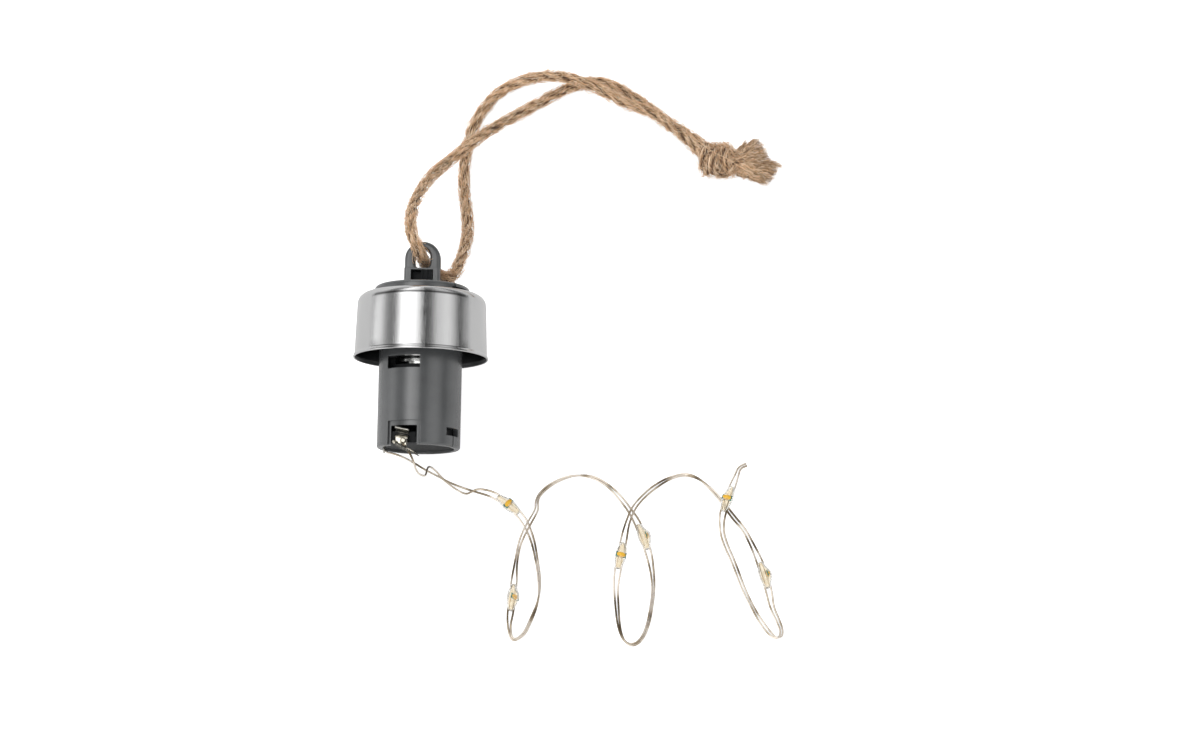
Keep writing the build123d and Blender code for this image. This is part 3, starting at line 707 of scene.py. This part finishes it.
def bead_matrix(number):
    """From a bead's own frame, X along the strands and Z out of its chip."""
    start = Vector(PAIR_MM[BEAD_RUNS[number]][:3]) * MM
    end = Vector(PAIR_MM[BEAD_RUNS[number] + 1][:3]) * MM
    along = (end - start).normalized()
    across = Vector((0, 0, 1)).cross(along).normalized()
    up = along.cross(across)
    turn = math.radians(BEAD_TURNS[number])
    face = up * math.cos(turn) - across * math.sin(turn)
    side = face.cross(along)
    turned = Matrix((along, side, face)).transposed().to_4x4()
    return Matrix.Translation((start + end) / 2) @ turned


def is_turned(number):
    """Whether a bead shows its chip from the side, in a higher hump."""
    return abs(BEAD_TURNS[number]) > 30


# A drop's outline: share of its length, share of its greatest radius
DROP_SHARES = [
    (-0.5, 0.5),
    (-0.46, 0.57),
    (-0.36, 0.68),
    (-0.22, 0.86),
    (-0.08, 0.98),
    (0.06, 1.0),
    (0.2, 0.92),
    (0.34, 0.76),
    (0.45, 0.6),
    (0.5, 0.5),
]


def make_bead(number):
    """A resin drop over its chip."""
    place = bead_matrix(number)
    sides = 24
    verts, faces = [], []
    for share, radius in DROP_SHARES:
        for s in range(sides):
            angle = 2 * math.pi * s / sides
            side, up = math.cos(angle), math.sin(angle)
            wave = 1 + 0.06 * noise.noise(Vector((share * 4, side, number * 3.1)))
            flat = 0.84 if up < 0 else 0.96
            if is_turned(number) and up > 0:
                flat += 0.34 * max(1 - (share / 0.32) ** 2, 0)
            r = radius * BEAD_R * 0.97 * wave
            local = (share * BEAD_LEN, r * side * 0.94, r * up * flat)
            verts.append(place @ Vector(local))
    count = len(DROP_SHARES)
    for k in range(count - 1):
        for s in range(sides):
            a, b = k * sides + s, k * sides + (s + 1) % sides
            faces.append((a, a + sides, b + sides, b))
    faces.append(tuple(range(sides)))
    faces.append(tuple(reversed(range((count - 1) * sides, count * sides))))
    bead = new_mesh(f"resin_drop_{number + 1}", verts, faces, RESIN, "stopper")
    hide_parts(f"led_bead_{number + 1}")
    return bead


def make_chip(number):
    """A chip: its teal board across the strands and its yellow dome."""
    place = bead_matrix(number)
    bm = bmesh.new()
    board = Matrix.Diagonal((1.2 * MM, 2.3 * MM, 0.24 * MM, 1))
    lift = 0.95 * MM if is_turned(number) else 0.8 * MM
    bmesh.ops.create_cube(bm, size=1, matrix=Matrix.Translation((0, 0, lift)) @ board)
    edges = bm.edges[:]
    bmesh.ops.bevel(bm, geom=edges, offset=0.05 * MM, segments=2, affect="EDGES")
    for face in bm.faces:
        face.material_index = 1
    dome = bmesh.ops.create_uvsphere(bm, u_segments=20, v_segments=10, radius=1)
    size = Matrix.Diagonal((0.62 * MM, 1.0 * MM, 0.5 * MM, 1))
    size = Matrix.Translation((0, 0, lift + 0.12 * MM)) @ size
    bmesh.ops.transform(bm, verts=dome["verts"], matrix=size)
    bmesh.ops.transform(bm, verts=bm.verts[:], matrix=place)
    mesh = bpy.data.meshes.new(f"chip_{number + 1}")
    bm.to_mesh(mesh)
    bm.free()
    mesh.materials.append(PHOSPHOR)
    mesh.materials.append(BOARD)
    mesh.shade_smooth()
    chip = add_object(mesh.name, mesh)
    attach(chip, "stopper")
    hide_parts(f"led_chip_{number + 1}")
    return chip


def make_string():
    """The fairy string: two strands, its beads and their chips."""
    for number in range(len(BEAD_RUNS)):
        make_bead(number)
        make_chip(number)
    for name, lead, side in (
        ("wire_left", LEFT_LEAD_MM, -1),
        ("wire_right", RIGHT_LEAD_MM, 1),
    ):
        route = strand(lead, side)
        wire = nurbs_curve(f"strand_{name}", route, WIRE_D / 2)
        wire.data.materials.append(WIRE)
        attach(wire, "stopper")
        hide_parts(name)
        line = spline_points(route)


make_string()


# Jute twine: three plies of loose fibre, laid long
PLY_COUNT = 3
PLY_R = 0.56 * MM
PLY_REACH = 0.6 * MM
PLY_LAY = 14.0 * MM
FIBRE_LAY = 11.0 * MM
FIBRES_PER_PLY = 19
ROPE_STEP = 0.45 * MM
# Painted shade of the lay: full at the first radius from the twine's axis, none beyond the second
SHADE_FULL_R = 0.7 * MM
SHADE_NONE_R = 1.22 * MM


def drift(at, seed, pace):
    """Slow, even unevenness in -1..1 along a line, at is a length."""
    return noise.noise(Vector((at / MM * pace, seed, 4.2 + seed)))


def add_rope(bundle, line, seed=0.0, swell=1.0):
    """Twine along a line: plies round it, and fibres round each ply."""
    even = evenly(line, ROPE_STEP)
    sides = frames(even)
    step = (even[1] - even[0]).length
    for ply in range(PLY_COUNT):
        middle = []
        for k, (point, pair) in enumerate(zip(even, sides)):
            at = k * step
            angle = seed + 2 * math.pi * (at / PLY_LAY + ply / PLY_COUNT)
            angle += 0.5 * drift(at, seed + ply, 0.12)
            reach = PLY_REACH * swell * (1 + 0.22 * drift(at, seed + 3 * ply, 0.22))
            middle.append(point + round_at(pair, angle) * reach)
        around = frames(middle)
        for fibre in range(FIBRES_PER_PLY):
            own = seed * 7 + ply * 31 + fibre * 1.37
            share = 0.45 if fibre % 5 == 0 else 0.82
            thick = PLY_R * (0.42 if fibre % 5 == 0 else random.uniform(0.17, 0.3))
            path = []
            for k, (point, pair) in enumerate(zip(middle, around)):
                at = k * step
                angle = 2 * math.pi * (fibre / FIBRES_PER_PLY - at / FIBRE_LAY)
                angle += 1.3 * drift(at, own, 0.28)
                out = PLY_R * swell * share * (1 + 0.42 * drift(at, own + 50, 0.4))
                path.append(point + round_at(pair, angle) * out)
            # Painted shade: fibres are drawn darker the nearer they lie to the twine's axis
            bundle.tube(path, thick * swell, 5, uv=(own * 13, own * 3.7), depth=even)


HAIR_R = 0.045 * MM
HAIR_FOOT_R = 1.0 * MM
LYING_HAIR_R = 0.04 * MM
LEAST_Z = 0.05 * MM


def add_hairs(bundle, line, count, reach, lift):
    """Loose hairs that leave the twine and bend back along it."""
    even = evenly(line, ROPE_STEP)
    sides = frames(even)
    for number in range(count):
        k = random.randrange(2, len(even) - 3)
        out = round_at(sides[k], random.uniform(0, 2 * math.pi))
        along = (even[k + 1] - even[k]).normalized() * random.choice((-1, 1))
        start = even[k] + out * HAIR_FOOT_R
        far = random.uniform(0.3, 1.0) * reach
        bend = out.cross(along) * random.uniform(-0.8, 0.8)
        points = []
        for step in range(6):
            t = step / 5
            rise = out * far * lift * (t - 0.55 * t * t)
            points.append(start + rise + (along + bend * t) * far * t)
        if min(point.z for point in points) < LEAST_Z:
            continue
        uv = (number * 1.7, number * 0.61)
        bundle.tube(points, HAIR_R, 3, ends=False, uv=uv, slot=1)


def add_lying_hairs(bundle, line, count):
    """Long single fibres that lie loosely on the twine."""
    even = evenly(line, ROPE_STEP)
    sides = frames(even)
    for number in range(count):
        first = random.randrange(4, len(even) - 50)
        span = random.randrange(22, 46)
        angle = random.uniform(0, 2 * math.pi)
        turn = random.uniform(-0.06, 0.1)
        points = []
        for k in range(first, first + span, 2):
            arch = 1.12 + 0.32 * math.sin(math.pi * (k - first) / span)
            out = round_at(sides[k], angle + turn * (k - first))
            points.append(even[k] + out * arch * MM)
        if min(point.z for point in points) < LEAST_Z:
            continue
        uv = (number * 2.1, number * 0.9)
        bundle.tube(points, LYING_HAIR_R, 4, ends=False, uv=uv, slot=1)


# The knot, in mm from its centre: both strands come in from the loop, lap
# round each other and leave towards the tails
KNOT_MM = Vector((66.6, 56.1, 4.3))
KNOT_IN_MM = [
    [
        (-4.4, 5.9, -1.7),
        (-2.7, 4.2, -1.1),
        (-1.4, 3.7, -0.9),
        (0.5, 3.7, -1.0),
        (2.7, 2.9, -0.7),
        (4.4, 1.0, -0.3),
        (6.6, 0.1, -0.7),
    ],
    [
        (-4.7, 2.9, 0.1),
        (-3.2, 1.3, -0.1),
        (-2.0, 1.3, -1.1),
        (-0.4, -0.4, -0.4),
        (0.9, -1.4, -0.2),
        (2.4, -1.5, -0.6),
        (4.6, -1.2, -1.1),
        (7.1, -0.8, -1.1),
    ],
]
KNOT_WRAP_MM = [
    [
        (-1.4, 4.0, -1.7),
        (-2.7, 3.2, 0.1),
        (-3.1, 0.6, 1.9),
        (-3.2, -1.9, 1.9),
        (-2.9, -2.8, 0.1),
        (-1.8, -2.0, -2.1),
        (-0.4, -0.5, -2.7),
    ],
    [
        (0.5, 3.6, -1.3),
        (-0.6, 2.8, 0.7),
        (-1.1, 0.0, 2.4),
        (-1.4, -2.4, 2.3),
        (-1.0, -3.4, 0.7),
        (0.4, -3.3, -0.7),
        (2.0, -3.2, -0.7),
        (3.2, -2.6, 0.1),
        (3.7, -1.6, 0.4),
        (4.6, -0.6, 0.1),
        (6.0, -0.2, -0.4),
    ],
    [
        (-0.5, 1.1, 0.3),
        (0.2, 2.7, 0.7),
        (1.6, 2.6, 0.9),
        (2.9, 1.8, 0.9),
        (4.2, 0.7, 0.3),
    ],
    [
        (-1.2, 1.8, -0.8),
        (0.4, 0.9, 0.3),
        (1.9, 0.4, 0.5),
        (3.4, -0.1, 0.1),
        (5.2, -0.5, -0.6),
    ],
    [
        (3.9, -0.9, -2.4),
        (3.0, -2.5, -1.1),
        (2.1, -2.6, 0.9),
        (1.5, -1.4, 2.0),
        (1.5, 0.6, 2.3),
        (1.9, 2.4, 1.3),
        (2.2, 3.4, -0.5),
    ],
]
# One long fibre that lies over the knot
KNOT_HAIR_MM = [
    (60.4, 62.1, 5.4),
    (62.8, 59.1, 6.8),
    (64.9, 56.6, 7.8),
    (67.3, 55.0, 8.3),
    (69.8, 53.9, 7.9),
    (72.2, 52.9, 6.2),
    (75.0, 52.4, 4.6),
]

# The frayed tails, in mm: where they leave the knot, and the ragged line that
# their locks reach
TAIL_FOOT_MM = Vector((69.6, 56.0, 3.5))
TAIL_FOOT_HALF_MM = (1.7, 1.3)
TAIL_END_MM = [
    (72.4, 59.6),
    (73.6, 62.0),
    (74.4, 60.6),
    (75.6, 62.5),
    (77.3, 62.0),
    (78.2, 60.3),
    (78.6, 58.7),
    (79.4, 57.2),
    (81.9, 56.1),
    (80.4, 55.2),
    (80.6, 53.8),
    (79.5, 52.4),
    (78.5, 50.9),
    (76.9, 51.9),
    (75.5, 52.3),
    (74.0, 53.5),
    (72.2, 53.9),
]
TAIL_TOP_MM = 4.6
TAIL_FIBRES = 1500


def make_knot():
    """Both strands drawn through, and the turn that laps over them."""
    rope = Bundle()
    for number, row in enumerate(KNOT_IN_MM):
        line = spline_points([(KNOT_MM + Vector(place)) * MM for place in row])
        add_rope(rope, line, 2.2 + number, 0.9)
        add_hairs(rope, line, 120, 1.4 * MM, 1.0)
    for number, row in enumerate(KNOT_WRAP_MM):
        line = spline_points([(KNOT_MM + Vector(place)) * MM for place in row])
        add_rope(rope, line, 5.4 + number * 1.3, 0.94)
        add_hairs(rope, line, 260, 1.8 * MM, 1.0)
    line = spline_points([Vector(place) * MM for place in KNOT_HAIR_MM])
    rope.tube(line, 0.07 * MM, 5, ends=False, uv=(3.1, 0.7), slot=1)
    knot = rope.object("jute_overhand_knot", (JUTE, FUZZ), "cap")
    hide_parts("jute_knot")
    return knot


def tail_end(share):
    """The place on the ragged line, at a share of the way along it."""
    at = share * (len(TAIL_END_MM) - 1.001)
    k = int(at)
    return Vector(TAIL_END_MM[k]).lerp(Vector(TAIL_END_MM[k + 1]), at - k)


def make_tails():
    """Frayed ends: locks of fibre, each with its own wave, that open out."""
    bundle = Bundle()
    for number in range(TAIL_FIBRES):
        share = random.random()
        lock = int(share * 17)
        end = tail_end(share)
        level = random.uniform(-1, 1)
        long = random.random() < 0.6
        reach = random.uniform(0.92, 1.04) if long else random.uniform(0.4, 1.0)
        far = 1 - abs(2 * share - 1)
        low = min(reach * far * 3, 1.0)
        stray = random.random() < 0.14
        start = Vector((0.0, TAIL_FOOT_HALF_MM[0] * (1 - 2 * share), 0.0))
        start.z = TAIL_FOOT_HALF_MM[1] * level * math.sqrt(max(1 - (1 - 2 * share) ** 2, 0.1))
        start += TAIL_FOOT_MM
        spread = 1.9 * (1 - 0.5 * low)
        finish = Vector((end.x, end.y, 2.2 + level * spread))
        points = []
        for step in range(16):
            t = step / 15 * reach
            # Straight out of the knot first, then over to the lock's own end
            ahead = start + Vector((finish.x - start.x, 0, 0)) * t
            place = ahead.lerp(start.lerp(finish, t), min(t * 1.6, 1.0))
            run = t * 11 * MM
            both = drift(run, lock * 3.7, 0.4) * (0.2 + 0.8 * t)
            own = drift(run, number * 1.31, 0.7) * ((0.9 if stray else 0.3) * t + 0.12)
            place.y += both * 0.9 + own
            place.z += drift(run, lock * 5.1 + 9, 0.4) * 0.6 * t + own * 0.5
            place.x += drift(run, number * 2.17, 0.5) * 0.35 * t
            place.z = min(max(place.z, 0.14), TAIL_TOP_MM)
            points.append(place * MM)
        thick = random.choice((0.05, 0.07, 0.1, 0.13)) * MM
        # Painted shade: locks lying lower in the tails are drawn darker
        bundle.tube(
            points,
            lambda share, thick=thick: thick * (1.1 - 0.6 * share),
            4,
            uv=(number * 2.3, number * 0.37),
            slot=1 if stray else 0,
            depth=random.uniform(0.15, 0.6) if level < 0.1 else random.uniform(0.45, 1.0),
        )
    # Single hairs that stand out round the ends and curl
    for number in range(330):
        share = random.random()
        end = tail_end(share)
        start = TAIL_FOOT_MM.xy.lerp(end, random.uniform(0.55, 1.0))
        foot = Vector((start.x, start.y, random.uniform(1.0, 3.6)))
        out = Vector((end.x - 74.0, end.y - 56.0, random.uniform(-1.5, 1.5))).normalized()
        bend = Vector((random.uniform(-1, 1), random.uniform(-1, 1), random.uniform(-0.5, 0.5)))
        far = random.uniform(0.4, 1.6)
        points = []
        for step in range(7):
            t = step / 6
            place = foot + (out * math.sin(2.2 * t) * 0.7 + bend * t * t * 0.8) * far
            place.x = min(place.x, 83.0)
            place.z = max(place.z, 0.12)
            points.append(place * MM)
        bundle.tube(points, 0.032 * MM, 3, ends=False, uv=(number * 3.1, number * 0.5), slot=1)
    tails = bundle.object("jute_frayed_tails", (JUTE, FUZZ), "cap")
    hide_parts("jute_tails")
    return tails


def make_jute():
    """The loop, its knot and its frayed tails."""
    route = [tuple(c * MM for c in place) for place in JUTE_MM]
    line = spline_points(route)
    rope = Bundle()
    add_rope(rope, line)
    add_hairs(rope, line, 4600, 1.1 * MM, 1.15)
    add_hairs(rope, line, 760, 2.3 * MM, 1.0)
    near = [p for p in line if 2.5 * MM < p.x < 8 * MM and p.y < 23 * MM and p.z > 9 * MM]
    add_hairs(rope, near, 130, 2.0 * MM, 1.2)
    add_lying_hairs(rope, line, 260)
    loop = rope.object("jute_rope", (JUTE, FUZZ), "cap")
    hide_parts("jute_loop")
    make_knot()
    make_tails()


make_jute()


# Metal cup: pressed sheet with a rounded shoulder and a rolled rim
def cup_profile():
    """The closed outline of the sheet, (radius, height) from the rim plane."""
    outer = [(CUP_HOLE_R, CUP_H)]
    corner_r = CUP_SHOULDER_R - CUP_SHOULDER_FILLET
    outer.append((corner_r - 1.2 * MM, CUP_H))
    for step in range(13):
        angle = math.pi / 2 * (1 - step / 12)
        x = corner_r + CUP_SHOULDER_FILLET * math.cos(angle)
        y = CUP_H - CUP_SHOULDER_FILLET + CUP_SHOULDER_FILLET * math.sin(angle)
        outer.append((x, y))
    low, low_r = 1.0 * MM, CUP_SKIRT_R + 0.2 * MM
    for step in range(1, 7):
        share = step / 6
        y = (CUP_H - CUP_SHOULDER_FILLET) * (1 - share) + low * share
        outer.append((CUP_SHOULDER_R + (low_r - CUP_SHOULDER_R) * share, y))
    for step in range(1, 9):
        share = step / 8
        bow = share * share * (3 - 2 * share)
        flare = low_r + (CUP_RIM_R - low_r) * bow
        outer.append((flare, low * (1 - share) + 0.2 * MM * share))
    return outer


def make_cup():
    """The cup in place, with its thickness and a rounded lower edge."""
    outer = cup_profile()
    inner = []
    for k, (r, h) in enumerate(outer):
        before, after = outer[max(k - 1, 0)], outer[min(k + 1, len(outer) - 1)]
        along = Vector((after[0] - before[0], after[1] - before[1])).normalized()
        inner.append((r + along.y * CUP_SHEET, h - along.x * CUP_SHEET))
    edge = []
    tip = Vector(outer[-1]).lerp(Vector(inner[-1]), 0.5)
    for step in range(1, 6):
        angle = math.pi * step / 6
        out = CUP_SHEET / 2 * math.cos(angle)
        down = CUP_SHEET / 2 * math.sin(angle)
        edge.append((tip.x + out, tip.y - down))
    profile = outer + edge + inner[::-1]
    verts, faces = lathe(profile)
    place = upright() @ Matrix.Translation((0, 0, HOUSING_REACH))
    uvs = [(math.atan2(y, x) / math.pi, z / CUP_H) for x, y, z in verts]
    placed = [place @ Vector(v) for v in verts]
    cup = new_mesh("pressed_cup", placed, faces, STEEL, "stopper", uvs)
    cup.data.materials.append(CUP_INSIDE_SHADE)
    # Painted shade: the inside faces of the cup get the dark steel
    inside = len(outer) + len(edge) - 1
    for number, face in enumerate(cup.data.polygons):
        face.material_index = 1 if number % len(profile) >= inside else 0
    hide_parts("metal_cup")


make_cup()


# Clip contact: a bent strip with a tinned tab and a crumpled end. Its rows
# are in the stopper's own frame, in mm: out of the bay and along the axis
CLIP_HALF_MM = 1.5
CLIP_X_MM = -3.15
CLIP_SHEET_MM = 0.2
CLIP_SLANT = 0.3
CLIP_MM = [
    (-6.9, 3.6),
    (-8.2, 3.6),
    (-8.85, 3.55),
    (-9.0, 3.3),
    (-8.7, 3.1),
    (-7.6, 3.0),
    (-7.0, 2.6),
    (-7.1, 2.1),
    (-7.9, 1.8),
    (-8.75, 1.62),
    (-8.98, 1.2),
    (-8.92, 0.4),
    (-8.98, -0.35),
]
# Scraps of the strip's end, each a row of places: across, out and along
SCRAPS_MM = [
    [(-5.0, -8.9, 0.5), (-4.4, -9.2, 0.0), (-3.5, -9.3, -0.7), (-2.6, -9.3, -1.2)],
    [(-4.5, -8.9, 0.1), (-3.4, -9.4, -0.6), (-2.2, -9.4, -1.1), (-1.0, -9.2, -1.7)],
    [(-3.4, -9.0, -0.5), (-2.4, -9.5, -1.2), (-1.4, -9.4, -1.5), (0.8, -8.8, -2.7)],
    [(-2.9, -9.0, -0.9), (-1.9, -9.6, -1.1), (-0.9, -9.4, -1.6), (0.2, -8.9, -2.2)],
    [(-2.2, -9.0, 0.9), (-1.8, -9.4, 0.2), (-2.2, -9.4, -0.6), (-1.8, -9.2, -1.3)],
]


def make_clip():
    """The strip, bent over the bay's edge, and its crumpled end."""
    place = upright()
    rows = evenly(spline_points([Vector((0, y, z)) for y, z in CLIP_MM]), 0.1)
    parts = Bundle()
    across = 12
    ring = 2 * (across + 1)
    for k, (row, (u, v)) in enumerate(zip(rows, frames(rows))):
        out = u if abs(u.x) < 0.5 else v
        share = k / (len(rows) - 1)
        narrow = 1 - 0.22 * max(share - 0.6, 0) / 0.4
        for layer in (0.5, -0.5):
            for step in range(across + 1):
                x = (step / across - 0.5) * 2 * CLIP_HALF_MM * narrow
                ripple = 0.2 * noise.noise(Vector((x * 0.9, k * 0.1, 3.3))) * (0.3 + share)
                spot = row + Vector((CLIP_X_MM + x, 0, -CLIP_SLANT * x * (1 - share)))
                spot += out * (CLIP_SHEET_MM * layer + ripple)
                parts.verts.append(place @ (spot * MM))
                parts.uvs.append((x, share))
                parts.depths.append(1.0)
    faces = []
    low = across + 1
    for k in range(len(rows) - 1):
        a, b = k * ring, (k + 1) * ring
        slot = 1 if k > 0.66 * len(rows) else 0
        for step in range(across):
            faces.append((a + step, a + step + 1, b + step + 1, b + step))
            faces.append((a + low + step + 1, a + low + step, b + low + step, b + low + step + 1))
        faces.append((a, b, b + low, a + low))
        faces.append((a + across, a + low + across, b + low + across, b + across))
        parts.slots += [slot] * (2 * across + 2)
    for first in (0, (len(rows) - 1) * ring):
        for step in range(across):
            corner = first + step
            faces.append((corner, corner + 1, corner + low + 1, corner + low))
            parts.slots.append(0)
    parts.faces = faces
    for number, scrap in enumerate(SCRAPS_MM):
        points = []
        for k, spot in enumerate(evenly(spline_points([Vector(s) for s in scrap]), 0.14)):
            kink = Vector((0, 0, 0))
            if k:
                kink = noise.noise_vector(Vector((k * 0.9, number * 3.3, 1.7))) * 0.16
            points.append(place @ ((spot + kink) * MM))
        thick = (0.28, 0.5, 0.52, 0.36, 0.3)[number] * MM
        parts.tube(
            points,
            lambda share, thick=thick: thick * (1.15 - share),
            5,
            uv=(number * 3.0, 0),
            slot=(1, 2, 2, 1, 2)[number],
        )
    clip = parts.object("bent_clip", (NICKEL, TIN, DARK_SOLDER), "stopper")
    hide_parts("clip_contact")


make_clip()


# Studio
def make_world():
    """A pale studio whose soft boxes and flags run along the stopper's axis."""
    world = bpy.data.worlds.new("studio")
    bpy.context.scene.world = world
    world.use_nodes = True
    tree = world.node_tree
    back = tree.nodes["Background"]
    coord = tree.nodes.new("ShaderNodeTexCoord")
    split = tree.nodes.new("ShaderNodeSeparateXYZ")
    tree.links.new(coord.outputs["Generated"], split.inputs["Vector"])
    angle = math_node(tree, "ARCTAN2", split.outputs["X"], split.outputs["Z"])
    # From the left horizon at 0 over the top at 0.5 to the right horizon at 1
    share = tree.nodes.new("ShaderNodeMapRange")
    share.inputs["From Min"].default_value = -math.pi / 2
    share.inputs["From Max"].default_value = math.pi / 2
    tree.links.new(angle, share.inputs["Value"])
    bands = ramp_node(tree, share.outputs["Result"], BANDS)
    bands.color_ramp.interpolation = "EASE"
    # The far ends of the boxes, beyond the hanger and before the housing
    ends = tree.nodes.new("ShaderNodeMapRange")
    ends.inputs["From Min"].default_value = -1
    tree.links.new(split.outputs["Y"], ends.inputs["Value"])
    fade = ramp_node(tree, ends.outputs["Result"], ENDS)
    mixed = tree.nodes.new("ShaderNodeMix")
    mixed.data_type = "RGBA"
    mixed.blend_type = "MULTIPLY"
    mixed.inputs["Factor"].default_value = 1.0
    tree.links.new(bands.outputs["Color"], mixed.inputs["A"])
    tree.links.new(fade.outputs["Color"], mixed.inputs["B"])
    rays = tree.nodes.new("ShaderNodeLightPath")
    mix = tree.nodes.new("ShaderNodeMix")
    mix.data_type = "RGBA"
    mix.inputs["B"].default_value = (1, 1, 1, 1)
    tree.links.new(rays.outputs["Is Camera Ray"], mix.inputs["Factor"])
    tree.links.new(mixed.outputs["Result"], mix.inputs["A"])
    tree.links.new(mix.outputs["Result"], back.inputs["Color"])
    back.inputs["Strength"].default_value = 1.0


def band(degrees, grey):
    """A stop of the studio's bands, at degrees to the right of straight up."""
    return ((degrees + 90) / 180, (grey, grey, grey))


BANDS = [
    band(-90, 0.8),
    band(-83, 1.45),
    band(-69, 1.15),
    band(-58, 0.38),
    band(-43, 0.26),
    band(-35, 1.3),
    band(-25, 3.0),
    band(-15, 2.2),
    band(-8, 1.9),
    band(1, 1.3),
    band(5.5, 0.09),
    band(19, 0.2),
    band(30, 0.9),
    band(50, 1.12),
    band(62, 0.7),
    band(72, 0.08),
    band(81, 0.5),
    band(90, 0.8),
]
ENDS = [
    (0.0, (0.8, 0.8, 0.8)),
    (0.22, (1.0, 1.0, 1.0)),
    (0.59, (1.0, 1.0, 1.0)),
    (0.65, (0.25, 0.25, 0.25)),
    (0.75, (0.15, 0.15, 0.15)),
    (0.83, (0.65, 0.65, 0.65)),
    (1.0, (0.8, 0.8, 0.8)),
]


def make_floor():
    """A white table that keeps the object's shadow."""
    verts = [(-3, -3, 0), (3, -3, 0), (3, 3, 0), (-3, 3, 0)]
    mesh = bpy.data.meshes.new("table")
    mesh.from_pydata(verts, [], [(0, 1, 2, 3)])
    table = add_object("table", mesh)
    mat, tree, shader = new_material("table_white")
    set_shader(shader, Base_Color=(0.68, 0.68, 0.68, 1), Roughness=0.9)
    set_shader(shader, Specular_IOR_Level=0.1)
    # A glow of the table, faint where metal mirrors it
    glow = tree.nodes.new("ShaderNodeEmission")
    rays = tree.nodes.new("ShaderNodeLightPath")
    seen = math_node(
        tree,
        "ADD",
        rays.outputs["Is Camera Ray"],
        rays.outputs["Is Transmission Ray"],
    )
    mirrored = math_node(tree, "MULTIPLY", rays.outputs["Is Glossy Ray"], 0.08)
    seen = math_node(tree, "MAXIMUM", seen, mirrored)
    strength = math_node(tree, "MULTIPLY", seen, 0.76)
    tree.links.new(strength, glow.inputs["Strength"])
    add = tree.nodes.new("ShaderNodeAddShader")
    tree.links.new(shader.outputs[0], add.inputs[0])
    tree.links.new(glow.outputs[0], add.inputs[1])
    tree.links.new(add.outputs[0], tree.nodes["Material Output"].inputs["Surface"])
    mesh.materials.append(mat)


def make_lamp(name, place, target, size, power):
    """A square soft box."""
    data = bpy.data.lights.new(name, "AREA")
    data.shape = "SQUARE"
    data.size = size
    data.energy = power
    lamp = add_object(name, data)
    lamp.location = place
    lamp.visible_glossy = False
    aim = Vector(target) - Vector(place)
    lamp.rotation_euler = aim.to_track_quat("-Z", "Y").to_euler()


make_world()
make_floor()
make_lamp("key", (-0.45, 0.75, 0.75), (0.02, 0, 0), 0.9, 6.0)
make_lamp("fill", (0.35, -0.85, 0.4), (0.02, 0, 0.02), 0.7, 2.6)
bpy.context.scene.view_settings.view_transform = "Standard"
